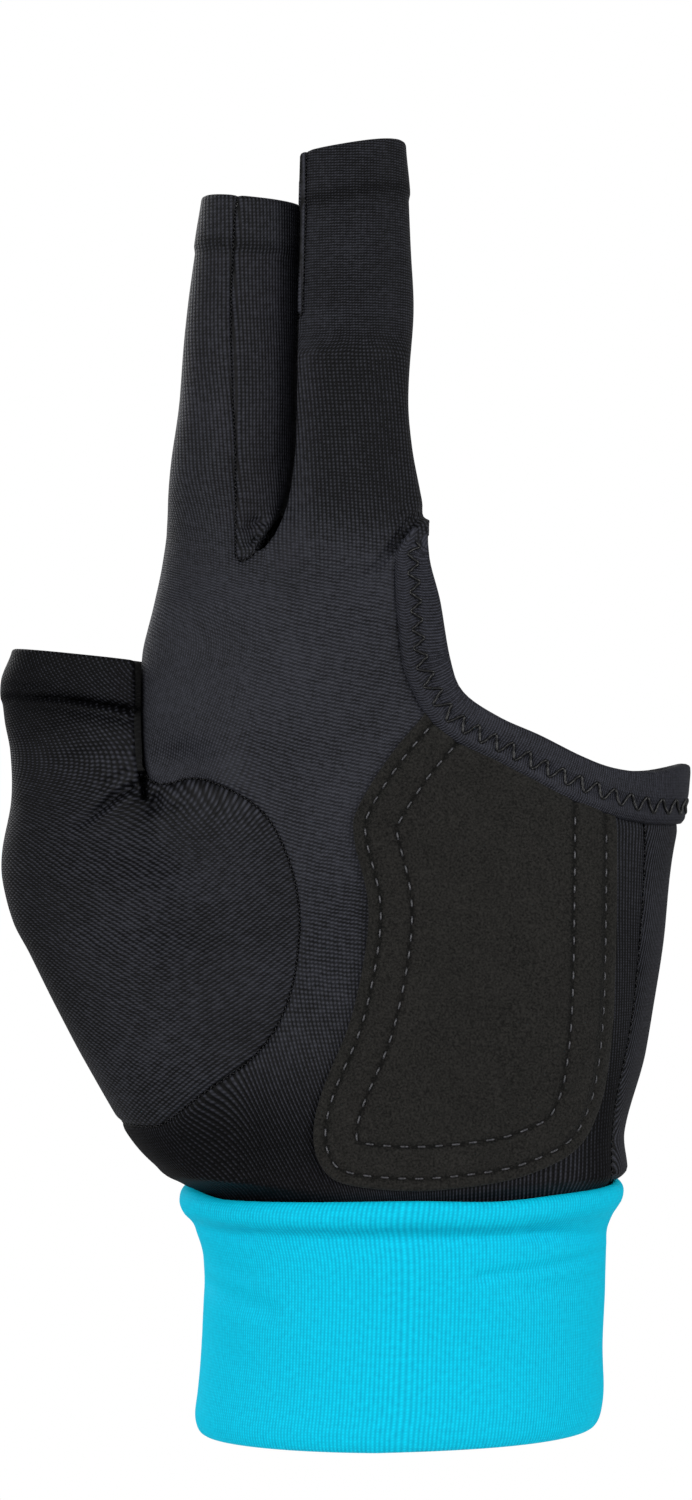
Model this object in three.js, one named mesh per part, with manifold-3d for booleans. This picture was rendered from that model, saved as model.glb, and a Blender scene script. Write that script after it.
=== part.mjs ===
// A billiard glove for the left hand, in the form it has when worn. The thumb, index and middle
// sleeves are open at the tip, the ring and little fingers share one open loop, a suede pad covers
// the heel of the hand, and a cuff holds the wrist.
// Millimetres. +Z runs up the fingers, the palm faces -Y, and the thumb is at -X. The origin is the
// middle of the cuff's lower ring, where the wrist goes in.

import * as THREE from 'three';
import { mergeVertices } from 'three/addons/utils/BufferGeometryUtils.js';
import Module from 'manifold-3d';

const wasm = await Module();
wasm.setup();

// Cloth thicknesses and gaps
const knitWall = 1.2;
const seamGap = 0.3;
const padThickness = 1.2;
const padLift = 0.3;
const bindingProud = 0.5;
const bindingDepth = 1.5;
const cuffWall = 2.2;

// How square the sections are: 2 is an ellipse
const handSquareness = 2.5;
const cuffSquareness = 2.3;

// How far the forms melt into each other, and how round their ends are
const palmBlend = 5;
const sleeveBlend = 1.2;
const thumbWeb = { bottom: 96, top: 104 };
const bodyRounding = 6;
const sleeveRounding = 1;

// Reach of the cutting prisms, beyond every face of the glove
const far = 90;
const above = 240;
const below = -20;

const table = (columns, rows) =>
  rows.map((row) => Object.fromEntries(columns.map((name, i) => [name, row[i]])));

// Sections of the hand's form, from the wrist up: left and right edge, y of the middle, half depth
const sectionColumns = ['z', 'left', 'right', 'mid', 'deep'];

const palmForm = table(sectionColumns, [
  [24, -31, 33, 0, 20],
  [35.5, -32.6, 34.6, 0, 20.4],
  [40.5, -35.2, 36, 0, 20.4],
  [47, -37.5, 35.5, 0, 19.6],
  [59.5, -41, 38.9, 0, 18],
  [75.5, -42.5, 41.5, 0, 16.5],
  [90, -42.5, 43.2, 0, 15.4],
  [101, -41.7, 45, 0, 14.8],
  [115, -41.6, 46, 0, 14.2],
  [123, -40.8, 45, 0, 13.6],
  [131, -38.2, 43, 0, 12.8],
  [141, -34.5, 40, 0, 12],
]);

const thumbForm = table(sectionColumns, [
  [34, -30, -20, -2, 13],
  [39, -33, -19, -3, 15.5],
  [44, -39.6, -18, -3, 16.8],
  [48, -43, -18, -3, 17.3],
  [58.7, -49.5, -20, -4.5, 18.5],
  [66.7, -53.8, -24, -4.5, 18],
  [75.4, -58.4, -28, -4, 16.5],
  [80, -61, -31, -3, 15],
  [86.5, -62.7, -35, -2, 13.5],
  [91, -62.8, -38, -1, 12],
  [99, -61.7, -38.5, 1, 10.6],
  [107, -61.9, -38.5, 2, 10.2],
  [112, -62.8, -38.5, 2.3, 10.2],
  [118, -63.2, -38.5, 2.7, 10.1],
  [123, -61.5, -40, 3, 9.8],
  [131, -61, -46, 3.4, 9.6],
]);

const heelForm = table(sectionColumns, [
  [40, 6, 31, -2, 16],
  [55, 3, 33, -3, 17],
  [70, 3, 35, -3.5, 16.5],
  [85, 5, 36, -3, 14.5],
  [100, 9, 36, -2, 11],
]);

const indexForm = table(sectionColumns, [
  [128, -36.6, -15, 1, 10.5],
  [143.5, -36.9, -16, 1.5, 10],
  [153, -36.4, -16, 2, 9.3],
  [163, -35.1, -15.8, 2.2, 9.2],
  [178.5, -33.8, -15.5, 2.5, 8.6],
  [188, -32.4, -15.5, 2.5, 8.2],
  [195, -31.3, -15.5, 2.5, 7.9],
  [204, -30.6, -15.5, 2.5, 7.6],
]);

const middleForm = table(sectionColumns, [
  [128, -21, 4, -1, 11.5],
  [142, -20.5, 3.6, -2, 10.8],
  [147, -19.5, 3.1, -2, 10.2],
  [155, -18.9, 1.5, -2, 9.4],
  [162, -18.9, 1.2, -2, 9.2],
  [175.5, -18.6, 2.1, -2, 9.2],
  [185, -18.3, 1.7, -2, 8.9],
  [195, -18.2, 1.3, -2, 8.6],
  [202.5, -18, 0.5, -2, 8.3],
  [213, -18, 0.2, -2, 8],
]);

// Folds pressed into the form: a line from one point to another on the palm side, its half width,
// its depth, and whether it runs on round the back
const folds = table(['fromX', 'fromZ', 'toX', 'toZ', 'width', 'depth', 'round'], [
  [-66, 116, -41, 113.6, 1.6, 1.5, true],
  [-57, 96.5, -45, 102.5, 1.8, 0.8, false],
  [4.5, 143, -4.5, 134.3, 1.8, 1, false],
]);

// Seams and edges seen from the palm side, as points [x, z] that a smooth curve passes through
const freeEdge = [[4.6, 144.8], [4.1, 138], [6.5, 124.2], [9.4, 116.1], [21.5, 109.5], [32.7, 104.6],
  [42.5, 104.2], [52, 107]];
const bindingLine = [[4.6, 144.8], [1.4, 141.4], [-0.5, 136.6], [0.1, 124.2], [6, 110.6], [21.5, 102],
  [33.9, 96.9], [44, 95.4], [53, 96]];
const gussetSeam = [[-25.4, 207], [-27.1, 181], [-26.2, 155], [-25.2, 139], [-22.4, 136], [-19.6, 139],
  [-17.4, 147], [-17, 160], [-15.4, 180], [-15, 214]];
const thumbSeam = [[-41.6, 150], [-41.5, 112], [-40.7, 105], [-37.6, 101.9], [-30, 102.6],
  [-18.9, 96.1], [-13.8, 80.3], [-18.7, 61.1], [-35.6, 50.6], [-46, 48.6]];
const thumbBackSeam = [[-41.6, 150], [-41.5, 112], [-40.9, 102.5], [-38.8, 92], [-38.5, 74],
  [-41, 58], [-46, 48.6]];
const sideSeam = [[38.2, 104], [38.3, 88], [36.6, 66.6], [33.6, 50], [33, 30]];
const padEdge = [[3.6, 114], [-1.5, 105.9], [-6.8, 96], [-4.8, 80], [-9.5, 61], [-13.2, 48.7],
  [-6, 40.5], [15.1, 41.4], [27.5, 47], [32, 66], [33, 99]];

// Slots between the sleeves: the line of the slot at the front, and its lean to the right with depth
const fingerSlot = [[-15.6, 216], [-16.4, 188], [-17.7, 165], [-18.1, 150], [-19.4, 142.2], [-21.4, 139]];
const thumbSlot = [[-41.6, 136], [-41.6, 112], [-41.1, 103], [-40.8, 99.6]];
const slotWidth = 0.9;
const slotLean = 0.15;
const slotFrontY = -8;

// Open ends of the sleeves: the rim at its outer and its inner side, and the slot beside it
const rims = [
  { outer: [-31.3, 194.6], inner: [-16.7, 193], slotX: -16 },
  { outer: [0.3, 203.3], inner: [-15.9, 201.1], slotX: -16 },
  { outer: [-61.4, 123.3], inner: [-41.6, 121.7], slotX: -41.6 },
];
const rimOvershoot = 25;

// The back panel starts this far behind the middle plane
const backSeamY = 3;

// The cuff's sections from the rolled top to the hem, and how it tips up towards the little finger
const cuffSections = table(['z', 'left', 'right', 'deep'], [
  [37.7, -33.4, 34.3, 20.3],
  [36.8, -34.5, 35.2, 21.1],
  [35.2, -34.8, 34.9, 21.3],
  [33.4, -34.2, 34, 20.9],
  [31.2, -32.3, 33.2, 20.2],
  [28, -31.3, 32.7, 20],
  [21, -31.1, 32.4, 20.1],
  [13, -31.4, 32.2, 20.3],
  [6, -32.1, 32.2, 20.6],
  [1.8, -32.5, 31.9, 20.7],
  [0, -32.2, 31.3, 20.3],
  [-0.6, -31.4, 30.5, 19.5],
]);
const cuffTop = 38;
const cuffTip = 0.026;
const cuffSides = 38;

// The net that the knit's form is drawn with: start, end and step, and finer levels at the folds
const netX = { from: -67, to: 49, step: 5 };
const netY = { from: -27, to: 24, step: 4.6 };
const netZ = { from: 21, to: 216, step: 8 };
const netFoldLevels = [98, 103, 112, 114, 116, 138, 142];
const netSmoothings = 3;

// Smooth value of one column of a section table at a height
function columnAt(rows, name, z) {
  const last = rows.length - 1;
  if (z <= rows[0].z) return rows[0][name];
  if (z >= rows[last].z) return rows[last][name];
  const i = rows.findIndex((row) => row.z > z) - 1;
  const slope = (a, b) => (rows[b][name] - rows[a][name]) / (rows[b].z - rows[a].z);
  const startSlope = slope(Math.max(i - 1, 0), i + 1);
  const endSlope = slope(i, Math.min(i + 2, last));
  const span = rows[i + 1].z - rows[i].z;
  const t = (z - rows[i].z) / span;
  const rise = t * t * (3 - 2 * t);
  return rows[i][name] * (1 - rise) + rows[i + 1][name] * rise
    + span * t * (1 - t) * ((1 - t) * startSlope - t * endSlope);
}

function smoothMin(a, b, reach) {
  const h = Math.max(reach - Math.abs(a - b), 0) / reach;
  return Math.min(a, b) - h * h * reach / 4;
}

// Distance to one form, negative inside: round its section, then rounded off at both ends
function formDistance(rows, topRounding, x, y, z) {
  const left = columnAt(rows, 'left', z);
  const right = columnAt(rows, 'right', z);
  const halfWidth = (right - left) / 2;
  const deep = columnAt(rows, 'deep', z);
  const u = Math.abs(x - (left + right) / 2) / halfWidth;
  const v = Math.abs(y - columnAt(rows, 'mid', z)) / deep;
  const gauge = Math.max((u ** handSquareness + v ** handSquareness) ** (1 / handSquareness), 1e-6);
  const slopeX = (u / gauge) ** (handSquareness - 1) / halfWidth;
  const slopeY = (v / gauge) ** (handSquareness - 1) / deep;
  const side = (gauge - 1) / Math.max(Math.hypot(slopeX, slopeY), 1e-6);
  const capped = -smoothMin(-side, rows[rows.length - 1].z - z, topRounding);
  return -smoothMin(-capped, z - rows[0].z, bodyRounding);
}

function foldDepth(x, y, z) {
  let depth = 0;
  for (const fold of folds) {
    const alongX = fold.toX - fold.fromX;
    const alongZ = fold.toZ - fold.fromZ;
    const share = ((x - fold.fromX) * alongX + (z - fold.fromZ) * alongZ) / (alongX ** 2 + alongZ ** 2);
    const t = THREE.MathUtils.clamp(share, 0, 1);
    const away = Math.hypot(x - fold.fromX - t * alongX, z - fold.fromZ - t * alongZ);
    const front = fold.round ? 1 : THREE.MathUtils.smoothstep(-y, 0, 6);
    depth += front * fold.depth * Math.exp(-((away / fold.width) ** 2));
  }
  return depth;
}

// The whole glove's outer form
function gloveDistance(x, y, z) {
  const heel = formDistance(heelForm, bodyRounding, x, y, z);
  const palm = smoothMin(formDistance(palmForm, bodyRounding, x, y, z), heel, palmBlend);
  const index = formDistance(indexForm, sleeveRounding, x, y, z);
  const middle = formDistance(middleForm, sleeveRounding, x, y, z);
  const thumb = formDistance(thumbForm, sleeveRounding, x, y, z);
  const hand = smoothMin(palm, smoothMin(index, middle, sleeveBlend), palmBlend);
  const aboveWeb = THREE.MathUtils.smoothstep(z, thumbWeb.bottom, thumbWeb.top);
  const thumbBlend = THREE.MathUtils.lerp(palmBlend, sleeveBlend, aboveWeb);
  return smoothMin(hand, thumb, thumbBlend) + foldDepth(x, y, z);
}

function slopeOf(distance, point) {
  const step = 0.05;
  const { x, y, z } = point;
  return new THREE.Vector3(
    distance(x + step, y, z) - distance(x - step, y, z),
    distance(x, y + step, z) - distance(x, y - step, z),
    distance(x, y, z + step) - distance(x, y, z - step),
  ).divideScalar(2 * step);
}

// Moves a point onto the surface where the distance is zero
function settle(distance, point) {
  for (let round = 0; round < 4; round += 1) {
    const slope = slopeOf(distance, point);
    const step = slope.multiplyScalar(-distance(point.x, point.y, point.z) / slope.lengthSq());
    point.add(step.clampLength(0, 1.5));
  }
  return point;
}

function levels({ from, to, step }, extra = []) {
  const count = Math.round((to - from) / step);
  const even = Array.from({ length: count + 1 }, (_, i) => from + ((to - from) * i) / count);
  const spaced = even.filter((level) => extra.every((other) => Math.abs(level - other) > 1.8));
  return [...spaced, ...extra].sort((a, b) => a - b);
}

// A net of four-sided faces over the surface: one point in each grid cell that the surface crosses,
// one face across each grid edge that it crosses
function surfaceNet(distance, grid) {
  const size = grid.map((axis) => axis.length);
  const at = (cell) => (cell[2] * size[1] + cell[1]) * size[0] + cell[0];
  const place = (cell) => cell.map((n, axis) => grid[axis][n]);
  const everyCell = function* everyCell(end) {
    for (let k = 0; k < size[2] - end; k += 1)
      for (let j = 0; j < size[1] - end; j += 1)
        for (let i = 0; i < size[0] - end; i += 1) yield [i, j, k];
  };
  const value = new Float64Array(size[0] * size[1] * size[2]);
  for (const cell of everyCell(0)) value[at(cell)] = distance(...place(cell));

  const step = (cell, axis, by) => cell.map((n, i) => (i === axis ? n + by : n));
  const pointOfCell = new Map();
  const points = [];
  for (const cell of everyCell(1)) {
    const crossings = [];
    for (const axis of [0, 1, 2]) {
      const b = (axis + 1) % 3;
      const c = (axis + 2) % 3;
      for (const start of [cell, step(cell, b, 1), step(cell, c, 1), step(step(cell, b, 1), c, 1)]) {
        const end = step(start, axis, 1);
        const before = value[at(start)];
        const after = value[at(end)];
        if (before < 0 === after < 0) continue;
        const from = new THREE.Vector3(...place(start));
        crossings.push(from.lerp(new THREE.Vector3(...place(end)), before / (before - after)));
      }
    }
    if (crossings.length === 0) continue;
    const middle = new THREE.Vector3();
    for (const crossing of crossings) middle.addScaledVector(crossing, 1 / crossings.length);
    pointOfCell.set(at(cell), points.length);
    points.push(settle(distance, middle));
  }

  const triangles = [];
  for (const cell of everyCell(0)) {
    for (const axis of [0, 1, 2]) {
      const b = (axis + 1) % 3;
      const c = (axis + 2) % 3;
      if (cell[axis] + 1 >= size[axis] || cell[b] === 0 || cell[c] === 0) continue;
      const before = value[at(cell)];
      if (before < 0 === value[at(step(cell, axis, 1))] < 0) continue;
      const lower = step(cell, b, -1);
      const around = [step(lower, c, -1), step(cell, c, -1), cell, lower];
      const face = around.map((corner) => pointOfCell.get(at(corner)));
      if (before >= 0) face.reverse();
      const [p, q, r, s] = face;
      const straight = points[p].distanceTo(points[r]) < points[q].distanceTo(points[s]);
      if (straight) triangles.push(p, q, r, p, r, s);
      else triangles.push(q, r, s, q, s, p);
    }
  }
  return { points, triangles };
}

// Evens out the net: each point moves to the middle of its neighbours and back onto the surface
function evenNet(distance, { points, triangles }, rounds) {
  const neighbours = points.map(() => new Set());
  triangles.forEach((corner, i) => {
    const next = triangles[i % 3 === 2 ? i - 2 : i + 1];
    neighbours[corner].add(next);
    neighbours[next].add(corner);
  });
  let placed = points;
  for (let round = 0; round < rounds; round += 1) {
    const before = placed;
    placed = before.map((point, i) => {
      const middle = new THREE.Vector3();
      for (const other of neighbours[i]) middle.addScaledVector(before[other], 1 / neighbours[i].size);
      return settle(distance, middle.lerp(point, 0.5));
    });
  }
  return { points: placed, triangles };
}

function solidOf(points, triangles) {
  const vertProperties = new Float32Array(points.flatMap((point) => point.toArray()));
  const triVerts = new Uint32Array(triangles);
  return new wasm.Manifold(new wasm.Mesh({ numProp: 3, vertProperties, triVerts }));
}

// The form with its surface moved outwards by an amount that may differ from place to place
function formSolid({ points, normals, triangles }, outwards) {
  const moved = points.map((point, i) => point.clone().addScaledVector(normals[i], outwards(point)));
  return solidOf(moved, triangles);
}

function geometrySolid(geometry) {
  geometry.deleteAttribute('normal');
  geometry.deleteAttribute('uv');
  const merged = mergeVertices(geometry);
  const corners = merged.getAttribute('position');
  const corner = (_, i) => new THREE.Vector3().fromBufferAttribute(corners, i);
  return solidOf(Array.from({ length: corners.count }, corner), Array.from(merged.index.array));
}

// An outline of [x, z] points made solid from one y to another, leaning to the right with depth
function prism(outline, fromY, toY, lean = 0) {
  const shape = new THREE.Shape(outline.map(([x, z]) => new THREE.Vector2(x, z)));
  const geometry = new THREE.ExtrudeGeometry(shape, { depth: toY - fromY, bevelEnabled: false });
  geometry.rotateX(Math.PI / 2);
  geometry.translate(0, toY - slotFrontY, 0);
  geometry.applyMatrix4(new THREE.Matrix4().makeShear(0, 0, lean, 0, 0, 0));
  geometry.translate(0, slotFrontY, 0);
  return geometrySolid(geometry);
}

function curve(points, steps) {
  const line = new THREE.SplineCurve(points.map(([x, z]) => new THREE.Vector2(x, z)));
  return line.getSpacedPoints(steps).map((point) => [point.x, point.y]);
}

// A line moved sideways, to its left where the distance is positive
function beside(line, distance) {
  return line.map(([x, z], i) => {
    const [x0, z0] = line[Math.max(i - 1, 0)];
    const [x1, z1] = line[Math.min(i + 1, line.length - 1)];
    const length = Math.hypot(x1 - x0, z1 - z0);
    return [x - (distance * (z1 - z0)) / length, z + (distance * (x1 - x0)) / length];
  });
}

const reversed = (line) => [...line].reverse();
const band = (line, halfWidth) => [...beside(line, -halfWidth), ...reversed(beside(line, halfWidth))];

// A line made longer past its last point
function lengthened(line, distance) {
  const [x0, z0] = line[line.length - 2];
  const [x1, z1] = line[line.length - 1];
  const length = Math.hypot(x1 - x0, z1 - z0);
  return [...line, [x1 + (distance * (x1 - x0)) / length, z1 + (distance * (z1 - z0)) / length]];
}

// The knit as one hollow body: the form less the slots, the open ends and the loop
const grid = [levels(netX), levels(netY), levels(netZ, netFoldLevels)];
const net = evenNet(gloveDistance, surfaceNet(gloveDistance, grid), netSmoothings);
net.normals = net.points.map((point) => slopeOf(gloveDistance, point).normalize());

const slotLines = [curve(fingerSlot, 14), curve(thumbSlot, 8)];
const slots = slotLines.map((line) => prism(band(line, slotWidth / 2), -far, far, slotLean));
const wallLines = slotLines.map((line) => lengthened(line, knitWall));
const slotWalls = wallLines.map((line) => prism(band(line, slotWidth / 2 + knitWall), -far, far, slotLean));

const openEnds = rims.map(({ outer, inner, slotX }) => {
  const slope = (outer[1] - inner[1]) / (outer[0] - inner[0]);
  const away = Math.sign(outer[0] - inner[0]) * rimOvershoot;
  const farEnd = [outer[0] + away, outer[1] + slope * away];
  const nearEnd = [slotX, inner[1] + slope * (slotX - inner[0])];
  return prism([farEnd, nearEnd, [slotX, above], [farEnd[0], above]], -far, far, slotLean);
});

const edgeLine = curve(freeEdge, 20);
const bindingEdge = curve(bindingLine, 22);
const [webX] = edgeLine[0];
const [littleFingerX] = edgeLine[edgeLine.length - 1];
const loopCut = prism([...edgeLine, [littleFingerX, above], [webX, above]], -far, far);
const bottomEdge = (x) => [x, cuffTop + cuffTip * x + seamGap];
const bottomCut = prism([bottomEdge(-far), [-far, below], [far, below], bottomEdge(far)], -far, far);

const outside = wasm.Manifold.union([...slots, ...openEnds, loopCut, bottomCut]);
const body = formSolid(net, () => 0).subtract(outside);
const hollow = formSolid(net, () => -knitWall).subtract(wasm.Manifold.union(slotWalls));
const knit = body.subtract(hollow);

// The panels' shares of the knit, each as a region and the same region grown by the seam gap
function thumbRegion(grow) {
  const front = beside(curve(thumbSeam, 34), grow);
  const back = beside(curve(thumbBackSeam, 22), grow);
  const outerSide = [[-far, thumbSeam.at(-1)[1] - grow], [-far, thumbSeam[0][1]]];
  const frontHalf = prism([...front, ...outerSide], -far, backSeamY, slotLean);
  const backHalf = prism([...back, ...outerSide], backSeamY, far, slotLean);
  return frontHalf.add(backHalf);
}

function gussetRegion(grow) {
  return prism(beside(curve(gussetSeam, 26), -grow), -far, far, slotLean);
}

function bindingRegion(grow) {
  return prism([...edgeLine, ...reversed(beside(bindingEdge, -grow))], -far, far);
}

function backRegion(grow) {
  const side = beside(curve(sideSeam, 12), -grow);
  const wrap = prism([...side, [far, sideSeam.at(-1)[1]], [far, sideSeam[0][1]]], -far, backSeamY);
  const back = prism([[-far, below], [far, below], [far, above], [-far, above]], backSeamY - grow, far);
  return back.add(wrap);
}

const withoutThumb = knit.subtract(thumbRegion(seamGap));
const withoutGusset = withoutThumb.subtract(gussetRegion(seamGap));
const panels = withoutGusset.subtract(bindingRegion(seamGap));

const thumbPanel = knit.intersect(thumbRegion(0));
const fingerGusset = withoutThumb.intersect(gussetRegion(0));
const backPanel = panels.intersect(backRegion(0));
const palmPanel = panels.subtract(backRegion(seamGap));

// The binding is folded over the loop's edge, so it stands proud of the knit on both faces
function nearLoop({ x, z }) {
  return THREE.MathUtils.smoothstep(x, -12, -6) * THREE.MathUtils.smoothstep(z, 84, 90);
}

const bindingOuter = formSolid(net, (point) => bindingProud * nearLoop(point));
const bindingInner = formSolid(net, (point) => -bindingDepth * nearLoop(point));
const edgeBinding = bindingOuter.intersect(bindingRegion(0)).subtract(bindingInner);

// The pad lies on the knit over the heel of the hand
const padOutline = curve(padEdge, 36);
const padArea = prism(padOutline, -far, 0).subtract(bindingRegion(seamGap));

function nearPad({ x, y }) {
  return THREE.MathUtils.smoothstep(x, -24, -18) * THREE.MathUtils.smoothstep(-y, -2, 2);
}

const padFace = formSolid(net, (point) => (padLift + padThickness) * nearPad(point)).intersect(padArea);
const padBack = formSolid(net, (point) => padLift * nearPad(point));
const heelPad = padFace.subtract(padBack);

// One turn of the cuff at a section, pulled in by an inset
function cuffRing({ z, left, right, deep }, inset) {
  return Array.from({ length: cuffSides }, (_, i) => {
    const angle = (2 * Math.PI * i) / cuffSides;
    const c = Math.cos(angle);
    const s = Math.sin(angle);
    const power = 2 / cuffSquareness;
    const x = (left + right) / 2 + ((right - left) / 2 - inset) * Math.sign(c) * Math.abs(c) ** power;
    const y = (deep - inset) * Math.sign(s) * Math.abs(s) ** power;
    return new THREE.Vector3(x, y, z + (cuffTip * x * z) / cuffTop);
  });
}

function cuffSolid() {
  const outer = cuffSections.map((section) => cuffRing(section, 0));
  const innerSections = cuffSections.slice(1, -1).filter((section, i) => i % 2 === 0).reverse();
  const inner = innerSections.map((section) => cuffRing(section, cuffWall));
  const rings = [...outer, ...inner];
  const triangles = [];
  for (let row = 0; row < rings.length; row += 1) {
    const next = (row + 1) % rings.length;
    for (let i = 0; i < cuffSides; i += 1) {
      const j = (i + 1) % cuffSides;
      const a = row * cuffSides + i;
      const b = row * cuffSides + j;
      const c = next * cuffSides + j;
      const d = next * cuffSides + i;
      triangles.push(a, c, b, a, d, c);
    }
  }
  return solidOf(rings.flat(), triangles);
}

// A cut can leave a sliver behind: the piece is the largest of what the cut leaves
function pieceMesh(name, cut, material) {
  const [solid] = cut.decompose().sort((a, b) => b.volume() - a.volume());
  const { vertProperties, triVerts } = solid.getMesh();
  const geometry = new THREE.BufferGeometry();
  geometry.setAttribute('position', new THREE.BufferAttribute(vertProperties, 3));
  geometry.setIndex(new THREE.BufferAttribute(triVerts, 1));
  geometry.computeVertexNormals();
  const mesh = new THREE.Mesh(geometry, material);
  mesh.name = name;
  return mesh;
}

const cloth = (color, roughness) => new THREE.MeshStandardMaterial({ color, roughness, metalness: 0 });

const glove = new THREE.Group();
glove.name = 'billiard_glove';
glove.add(
  pieceMesh('palm_panel', palmPanel, cloth(0x22232b, 0.72)),
  pieceMesh('back_panel', backPanel, cloth(0x202129, 0.72)),
  pieceMesh('finger_gusset', fingerGusset, cloth(0x1e1f26, 0.74)),
  pieceMesh('thumb_panel', thumbPanel, cloth(0x21222a, 0.72)),
  pieceMesh('edge_binding', edgeBinding, cloth(0x25262e, 0.68)),
  pieceMesh('heel_pad', heelPad, cloth(0x242322, 0.95)),
  pieceMesh('wrist_cuff', cuffSolid(), cloth(0x06bce3, 0.66)),
);

export default glove;
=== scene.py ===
import math
import bpy
import numpy as np
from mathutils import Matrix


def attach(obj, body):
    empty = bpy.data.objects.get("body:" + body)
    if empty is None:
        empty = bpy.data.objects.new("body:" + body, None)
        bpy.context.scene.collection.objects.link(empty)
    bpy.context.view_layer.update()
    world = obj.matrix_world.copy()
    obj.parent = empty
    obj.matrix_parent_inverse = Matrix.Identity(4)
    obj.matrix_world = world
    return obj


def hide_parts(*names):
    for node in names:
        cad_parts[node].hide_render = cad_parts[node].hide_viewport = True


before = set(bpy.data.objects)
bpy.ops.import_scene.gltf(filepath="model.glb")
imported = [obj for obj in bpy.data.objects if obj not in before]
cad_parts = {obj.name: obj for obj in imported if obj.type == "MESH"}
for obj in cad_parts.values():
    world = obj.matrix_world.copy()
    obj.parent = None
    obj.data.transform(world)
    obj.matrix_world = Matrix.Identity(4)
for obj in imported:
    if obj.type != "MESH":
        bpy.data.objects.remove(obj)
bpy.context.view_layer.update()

# Wrist cuff
# A band of bright cyan nylon-elastane knit, two layers thick, folded over at the top into a soft
# roll and turned in at the hem. It is sewn to the body inside the roll and stretched on the wrist.
MM = 0.001  # sizes and tables are in millimetres here, and Blender's unit is the metre
CUFF_SQUARENESS = 2.3
CUFF_TOP = 38.0
CUFF_TIP = 0.026  # how far the cuff's top rises to the right, in mm for each mm
CUFF_HEM_RISE = 0.03
CUFF_ROLL_DIP = 0.6
CUFF_ROLL_RISE = 1.3
CUFF_RIPPLE = 0.12
CUFF_SIDES = 300
CUFF_RING_STEP = 0.5
CUFF_TURN = 27  # millimetres of knit for each radian round the wrist
CUFF_WALE, CUFF_COURSE = 0.5, 0.45  # the real knit is about 0.4 mm, drawn coarser so that it shows
# Height, left edge, right edge and half depth: inside the roll, over it, down to the hem and up inside
CUFF_PROFILE = [
    (33.5, -31.2, 32.0, 18.2), (36.4, -31.6, 32.6, 18.7), (37.9, -32.6, 33.6, 19.6),
    (37.9, -33.7, 34.7, 20.6), (36.9, -34.7, 35.3, 21.4), (35.4, -34.9, 35.1, 21.6),
    (34.2, -34.3, 34.4, 21.1), (33.1, -33.2, 33.7, 20.0), (31.6, -32.3, 33.2, 19.5),
    (28.0, -31.3, 32.7, 19.8), (21.0, -31.1, 32.4, 20.1), (13.0, -31.4, 32.2, 20.3),
    (6.0, -32.1, 32.3, 20.6), (2.4, -32.5, 32.0, 20.7), (0.4, -32.2, 31.5, 20.4),
    (-0.6, -31.5, 30.7, 19.7), (-0.4, -30.5, 29.9, 18.8), (0.9, -29.9, 29.5, 18.3),
    (6.0, -29.9, 30.0, 18.3), (16.0, -29.2, 30.1, 18.0), (26.0, -29.0, 30.4, 17.8),
    (31.0, -29.9, 31.0, 17.9),
]
# Creases of the stretched cuff: from x, z to x, z on the palm side, half width and depth
CUFF_CREASES = [
    (12.0, 26.2, 31.0, 28.2, 0.9, 0.5), (16.0, 24.2, 30.0, 24.0, 1.6, 0.3),
    (-30.5, 23.2, -21.0, 20.6, 1.7, 0.7), (-31.5, 26.6, -24.0, 26.0, 1.4, 0.3),
    (-32.0, 32.6, -24.0, 32.2, 1.3, 0.7), (-24.0, 32.6, 4.0, 32.4, 0.9, 0.3),
    (6.0, 32.4, 24.0, 32.6, 0.9, 0.35), (20.0, 32.6, 34.0, 31.0, 1.3, 0.7),
    (-30.0, 14.5, -24.0, 12.0, 1.6, 0.16),
]


def linear(hex_colour):
    """A colour written as sRGB hex, in the linear values that a shader takes."""
    parts = [int(hex_colour[i:i + 2], 16) / 255 for i in (1, 3, 5)]
    return tuple(c / 12.92 if c < 0.04045 else ((c + 0.055) / 1.055) ** 2.4 for c in parts) + (1.0,)


def step_between(low, high, value):
    """From 0 at low to 1 at high, with a smooth start and end."""
    t = np.clip((value - low) / (high - low), 0, 1)
    return t * t * (3 - 2 * t)


def rounded(way, squareness):
    """A sine or cosine bent so that the circle it draws gets squarer."""
    return np.sign(way) * np.abs(way) ** (2 / squareness)


def columns(*parts):
    """Arrays and numbers side by side, as the columns of one array."""
    return np.stack(np.broadcast_arrays(*parts), axis=-1)


def smooth_line(points, step, closed=False):
    """A smooth line through the points, with a new point about every step."""
    points = np.array(points, float)
    if closed:
        knots = np.vstack([points[-1], points, points[:2]])
    else:
        knots = np.vstack([2 * points[0] - points[1], points, 2 * points[-1] - points[-2]])
    parts = []
    for p0, p1, p2, p3 in zip(knots, knots[1:], knots[2:], knots[3:]):
        t = np.linspace(0, 1, 12, endpoint=False)[:, None]
        bend = 2 * p0 - 5 * p1 + 4 * p2 - p3
        twist = 3 * p1 - p0 - 3 * p2 + p3
        parts.append(0.5 * (2 * p1 + (p2 - p0) * t + bend * t ** 2 + twist * t ** 3))
    fine = np.vstack(parts + [points[:1] if closed else points[-1:]])
    return spaced(fine, step)


def far_along(line):
    """How far along a line each of its points lies."""
    return np.concatenate([[0], np.cumsum(np.linalg.norm(np.diff(line, axis=0), axis=1))])


def points_along(line, at):
    """The places at these distances along a line."""
    far = far_along(line)
    return np.stack([np.interp(at, far, column) for column in line.T], axis=-1)


def spaced(line, step):
    """The same line with its points a step apart."""
    length = far_along(line)[-1]
    return points_along(line, np.linspace(0, length, max(int(round(length / step)), 1) + 1))


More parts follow.
